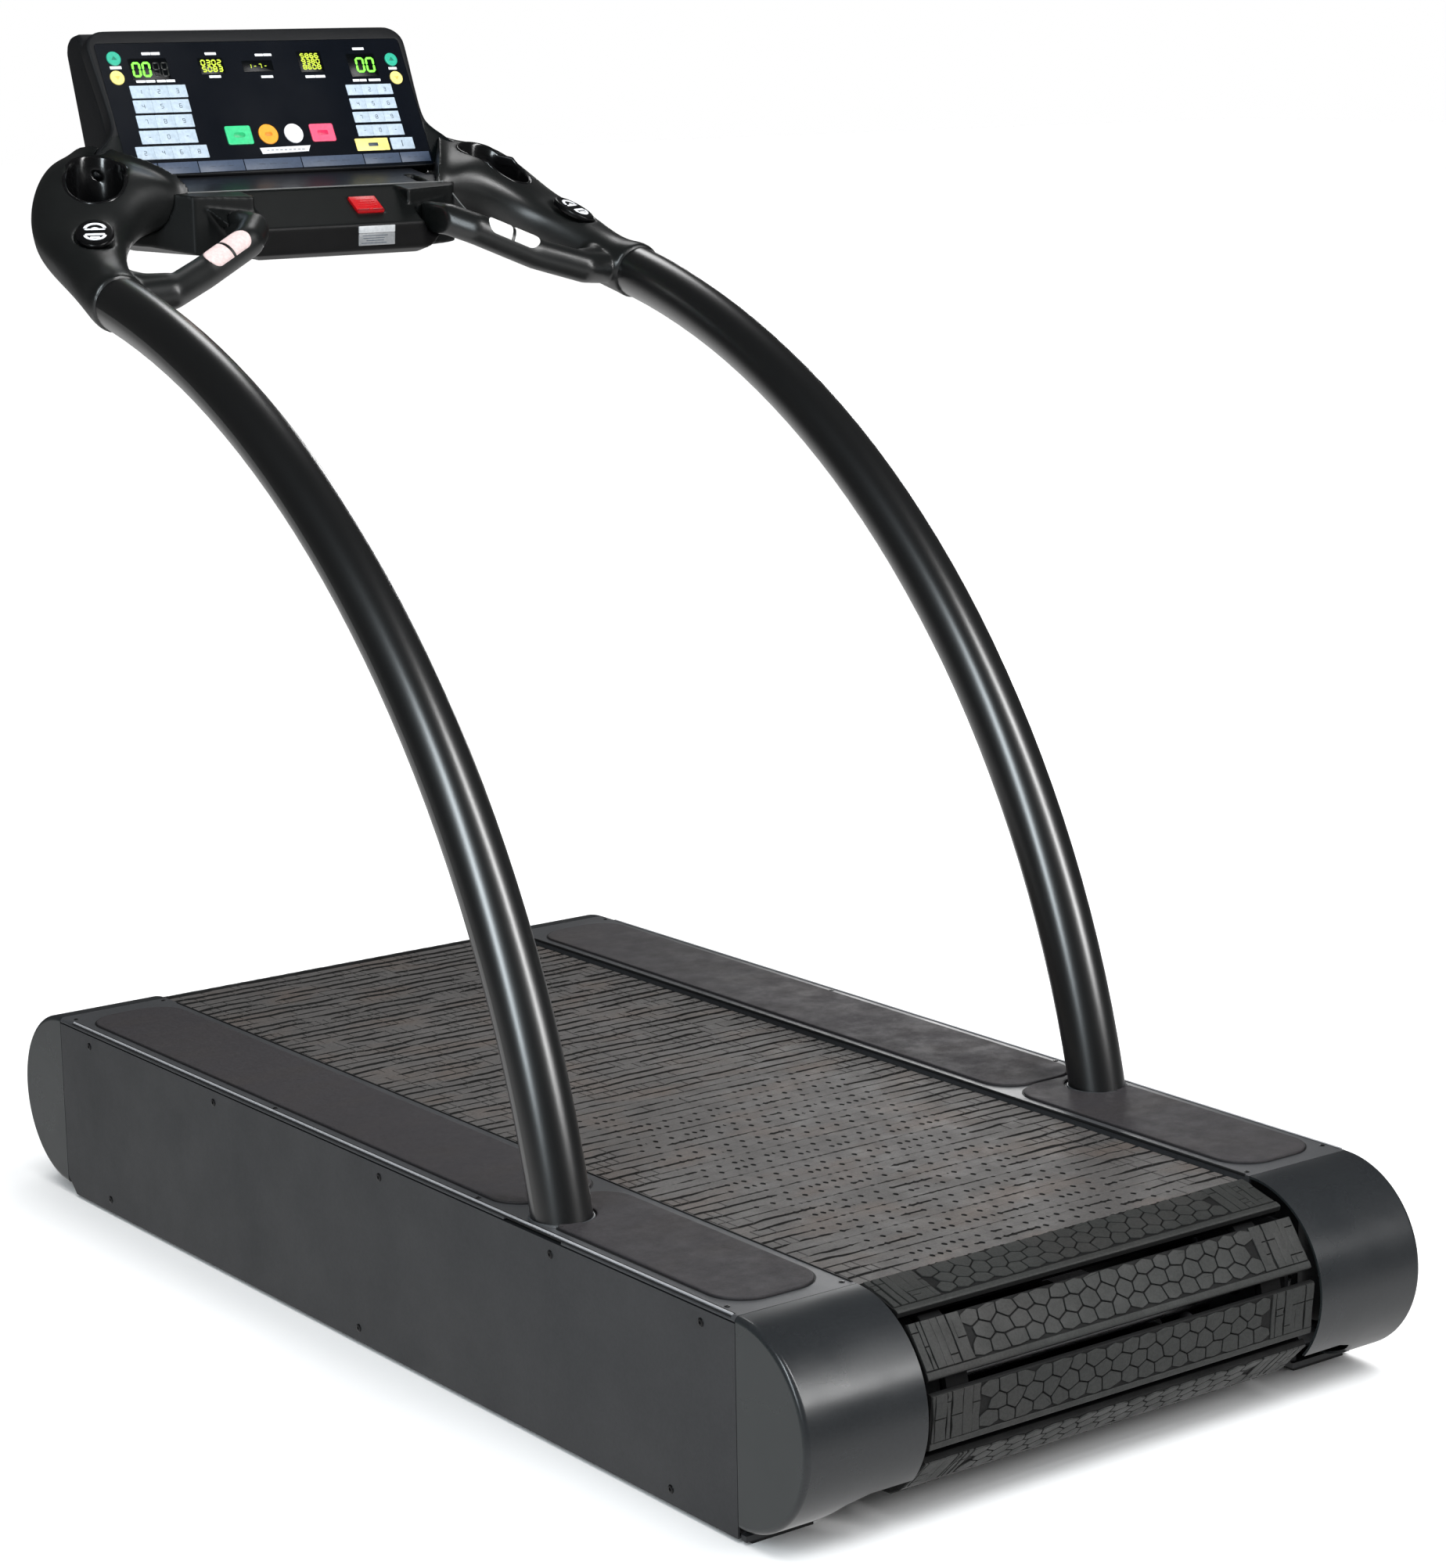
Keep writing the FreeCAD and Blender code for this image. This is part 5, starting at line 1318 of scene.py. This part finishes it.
def rear_mat():
    """Outline of the rear mat: it opens round the tube on its outer side."""
    r = 44
    pts = []
    for cx, cy, a0, a1, n in ((302 + r, 26 + r, 180, 270, 14), (430 - r, 26 + r, 270, 360, 14)):
        for k in range(n + 1):
            a = math.radians(a0 + (a1 - a0) * k / n)
            pts.append((cx + r * math.cos(a), cy + r * math.sin(a)))
    pts.append((430, ty - 34))
    for k in range(5):
        a = math.radians(0 + 90 * k / 4)
        pts.append((422 + 8 * math.cos(a), ty - 34 + 8 * math.sin(a)))
    pts.append((TUBE_X + 4, ty - 26))
    cx, cy, rr = TUBE_X, ty + 2, 40.0
    a_s = math.degrees(math.atan2((ty - 27) - cy, 24.0))
    k0, k1 = -46.0, -270.0
    for k in range(25):
        a = math.radians(k0 + (k1 - k0) * k / 24)
        x, y = cx + rr * math.cos(a), cy + rr * math.sin(a)
        if y > 433 or x > TUBE_X:
            continue
        pts.append((x, y))
    pts.append((TUBE_X - 6, 434))
    for k in range(15):
        a = math.radians(90 + 90 * k / 14)
        pts.append((302 + r + r * math.cos(a), 434 - r + r * math.sin(a)))
    return pts


mg = Geo()
front_mat = stadium(302, 430, 440, 1486, 44)
for side in (-1, 1):
    for pts, big in ((front_mat, True), (rear_mat(), False)):
        def at(u, v, n, side=side):
            return P(side * u, v, n)
        n = len(pts)
        q0 = inset(pts, 0.35)
        q1 = inset(pts, 1.1)
        q2 = inset(pts, 3.0)
        rings = [[at(u, v, DECK_Z + 0.02) for u, v in pts], [at(u, v, DECK_Z + 1.5) for u, v in pts], [at(u, v, DECK_Z + 2.2) for u, v in q0], [at(u, v, DECK_Z + 2.5) for u, v in q1], [at(u, v, DECK_Z + 2.5) for u, v in q2]]
        mg.prism(rings[0], rings[-1], rings[1:-1], 0)
        # seam: a flat band round the mat, painted black as the shadow in the seam
        o1 = inset(pts, -2.1)
        i1 = inset(pts, 0.3)
        v = [at(u, w, DECK_Z + 0.25) for u, w in o1] + [at(u, w, DECK_Z + 0.25) for u, w in i1] + [at(u, w, DECK_Z - 0.3) for u, w in o1] + [at(u, w, DECK_Z - 0.3) for u, w in i1]
        f = []
        for k in range(n):
            j = (k + 1) % n
            f += [(k, j, n + j, n + k), (2 * n + k, 3 * n + k, 3 * n + j, 2 * n + j), (k, 2 * n + k, 2 * n + j, j), (n + k, n + j, 3 * n + j, 3 * n + k)]
        mg.add(v, f, 1)
mats = mg.obj("step_mat_skins", "frame", ["mat_rubber", "gap_painted_shadow"], "mat_rubber", 40.0)
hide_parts("step_mats")

# --------------------------------------------------------------------------
# Screws, tube collars, dark shadow gaps
# --------------------------------------------------------------------------
sg = Geo()


def screw(g, c, d, r, h, mi=0):
    """Domed head with a six-sided socket, centre c (metres), facing d."""
    d = d.normalized()
    a = d.cross(Vector((0, 0, 1)))
    if a.length < 1e-3:
        a = d.cross(Vector((1, 0, 0)))
    a.normalize()
    b = d.cross(a)
    N = 18
    rings = []
    for f, hh in ((1.0, 0.0), (1.0, 0.25), (0.93, 0.62), (0.78, 0.88), (0.56, 1.0)):
        rings.append([c + (a * math.cos(2 * math.pi * k / N) + b * math.sin(2 * math.pi * k / N)) * (r * f) + d * (h * hh) for k in range(N)])

    def hexr(k):
        x = (2 * math.pi * k / N) % (math.pi / 3) - math.pi / 6
        return 0.42 * math.cos(math.pi / 6) / math.cos(x)
    for hh, sc in ((1.0, 1.0), (0.2, 0.96)):
        rings.append([c + (a * math.cos(2 * math.pi * k / N) + b * math.sin(2 * math.pi * k / N)) * (r * hexr(k) * sc) + d * (h * hh) for k in range(N)])
    g.prism(rings[0], rings[-1], rings[1:-1], mi)


for yy, zz in [(60, 226), (340, 226), (700, 226), (1100, 226), (1440, 226), (120, 22), (760, 22), (1400, 22)]:
    for side in (-1, 1):
        screw(sg, P(side * 448.45, yy, zz), Vector((side, 0, 0)), 0.0052, 0.0011)
for side in (-1, 1):
    for xx, yy in ((436, 30), (438, 500), (438, 960), (436, 1500), (297, 14), (297, 1512)):
        screw(sg, P(side * xx, yy, DECK_Z - 0.1), Vector((0, 0, 1)), 0.0034, 0.0008)
scr_o = sg.obj("panel_screw_heads", "frame", ["screw_black"], "screw_black", 35.0)
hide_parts("panel_screws")

cg = Geo()
th0 = math.asin((249.0 - ARC_Z) / ARC_R)
for side in (-1, 1):
    def ringpt(r, dz, k, N=72):
        a = 2 * math.pi * k / N
        # where the leaning tube meets the deck
        lean = (249.0 + dz - ARC_Z)
        yc = ARC_Y - math.sqrt(ARC_R ** 2 - lean ** 2)
        return P(side * (TUBE_X + r * math.cos(a)), yc + r * math.sin(a) / math.cos(th0), 249.0 + dz)
    prof = [(35.15, -1.0), (35.15, 1.3), (35.7, 1.7), (36.6, 1.5), (37.4, 0.8), (37.8, 0.0), (37.8, -1.0)]
    N = 72
    v = [ringpt(r, dz, k) for k in range(N) for r, dz in prof]
    m = len(prof)
    f = []
    for k in range(N):
        j = (k + 1) % N
        for q in range(m):
            p = (q + 1) % m
            f.append((k * m + q, j * m + q, j * m + p, k * m + p))
    cg.add(v, f, 0)
cg.obj("tube_collars", "frame", ["collar"], "steel", 50.0)

# rolled bead along the outer edge of each deck cover, painted light grey as a highlight line, with thin black strips
# beside it and along the inner edge painted as shadow in the gaps
eg = Geo()
for side in (-1, 1):
    for xo, zo, r_, m_ in ((445.0, 248.5, 1.5, 0), (442.4, 248.6, 0.9, 1), (447.7, 246.6, 0.8, 1), (288.6, 248.2, 1.9, 1)):
        pts = [P(side * xo, y_, zo) for y_ in range(8, 1500, 40)]
        sweep(eg, pts, r_ / 1000.0, 8, m_)
eg.obj("deck_cover_highlight_and_shadow_lines", "frame", ["bead_line", "gap_painted_shadow"], "cover_paint", 60.0)

# --------------------------------------------------------------------------
# Stage: pale floor, soft lights
# --------------------------------------------------------------------------
fm = Nodes("mat_floor")
fm.link(fm.ramp(fm.noise(1.2, 3.0, 0.5), [(0.3, (0.95, 0.95, 0.95)), (0.7, (0.97, 0.97, 0.97))]), fm.b.inputs["Base Color"])
fm.set(rough=0.9, spec=0.1)
me_ = bpy.data.meshes.new("floor")
S_ = 40.0
me_.from_pydata([(-S_, -S_, 0), (S_, -S_, 0), (S_, S_, 0), (-S_, S_, 0)], [], [(0, 1, 2, 3)])
floor = bpy.data.objects.new("floor", me_)
me_.materials.append(fm.m)
SC.collection.objects.link(floor)
floor.visible_glossy = False
floor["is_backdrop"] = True

world = bpy.data.worlds.new("world")
SC.world = world
world.use_nodes = True
wt = world.node_tree
wt.nodes.clear()
wo = wt.nodes.new("ShaderNodeOutputWorld")
bg1 = wt.nodes.new("ShaderNodeBackground")
bg1.inputs[0].default_value = (1.0, 1.0, 1.0, 1.0)
bg1.inputs[1].default_value = 0.25
bg2 = wt.nodes.new("ShaderNodeBackground")
bg2.inputs[0].default_value = (1.0, 1.0, 1.0, 1.0)
bg2.inputs[1].default_value = 1.0
bg3 = wt.nodes.new("ShaderNodeBackground")
bg3.inputs[0].default_value = (1.0, 1.0, 1.0, 1.0)
wc = wt.nodes.new("ShaderNodeTexCoord")
ws = wt.nodes.new("ShaderNodeSeparateXYZ")
wr = wt.nodes.new("ShaderNodeMapRange")
wr.interpolation_type = "SMOOTHSTEP"
wr.inputs["From Min"].default_value = -0.45
wr.inputs["From Max"].default_value = -0.02
wr.inputs["To Min"].default_value = 0.75
wr.inputs["To Max"].default_value = 0.05
wt.links.new(wc.outputs["Generated"], ws.inputs[0])
wt.links.new(ws.outputs[2], wr.inputs["Value"])
wt.links.new(wr.outputs[0], bg3.inputs[1])
lp = wt.nodes.new("ShaderNodeLightPath")
mx = wt.nodes.new("ShaderNodeMixShader")
mg = wt.nodes.new("ShaderNodeMixShader")
wt.links.new(lp.outputs["Is Glossy Ray"], mg.inputs[0])
wt.links.new(bg1.outputs[0], mg.inputs[1])
wt.links.new(bg3.outputs[0], mg.inputs[2])
wt.links.new(lp.outputs["Is Camera Ray"], mx.inputs[0])
wt.links.new(mg.outputs[0], mx.inputs[1])
wt.links.new(bg2.outputs[0], mx.inputs[2])
wt.links.new(mx.outputs[0], wo.inputs[0])

sun = bpy.data.lights.new("sun", "SUN")
sun.energy = 2.8
sun.angle = math.radians(60)
so = bpy.data.objects.new("sun", sun)
so.rotation_euler = (math.radians(8), math.radians(2), 0)
so.visible_glossy = False
SC.collection.objects.link(so)


def area(name, loc, target, sx, sy, power, col=(1, 1, 1)):
    d = bpy.data.lights.new(name, "AREA")
    d.shape = "RECTANGLE"
    d.size, d.size_y = sx, sy
    d.energy = power
    d.color = col
    o = bpy.data.objects.new(name, d)
    o.location = loc
    o.rotation_euler = (Vector(target) - Vector(loc)).to_track_quat("-Z", "Y").to_euler()
    o.visible_camera = False
    SC.collection.objects.link(o)
    return o


area("light_caps", (2.3, -3.7, 1.7), (-0.2, -0.9, 0.2), 0.7, 1.0, 9)
area("light_tubes_rear", (2.0, -4.3, 3.9), (0.0, -0.4, 0.7), 0.85, 4.6, 200)
area("light_tubes_left", (-4.1, -2.3, 2.9), (0.0, -0.4, 0.7), 0.80, 3.6, 140, (0.86, 0.95, 1.0))
area("light_arms", (1.95, 3.0, 4.0), (0.35, 0.65, 1.3), 1.0, 1.2, 14)
area("light_back_right", (3.3, 3.2, 1.2), (0.4, -0.7, 0.25), 0.7, 1.6, 24)
SC.view_settings.view_transform = "Standard"

b2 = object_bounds()
{"cad": [list(map(float, q)) for q in CAD_BOX], "visual": [list(map(float, q)) for q in b2]}
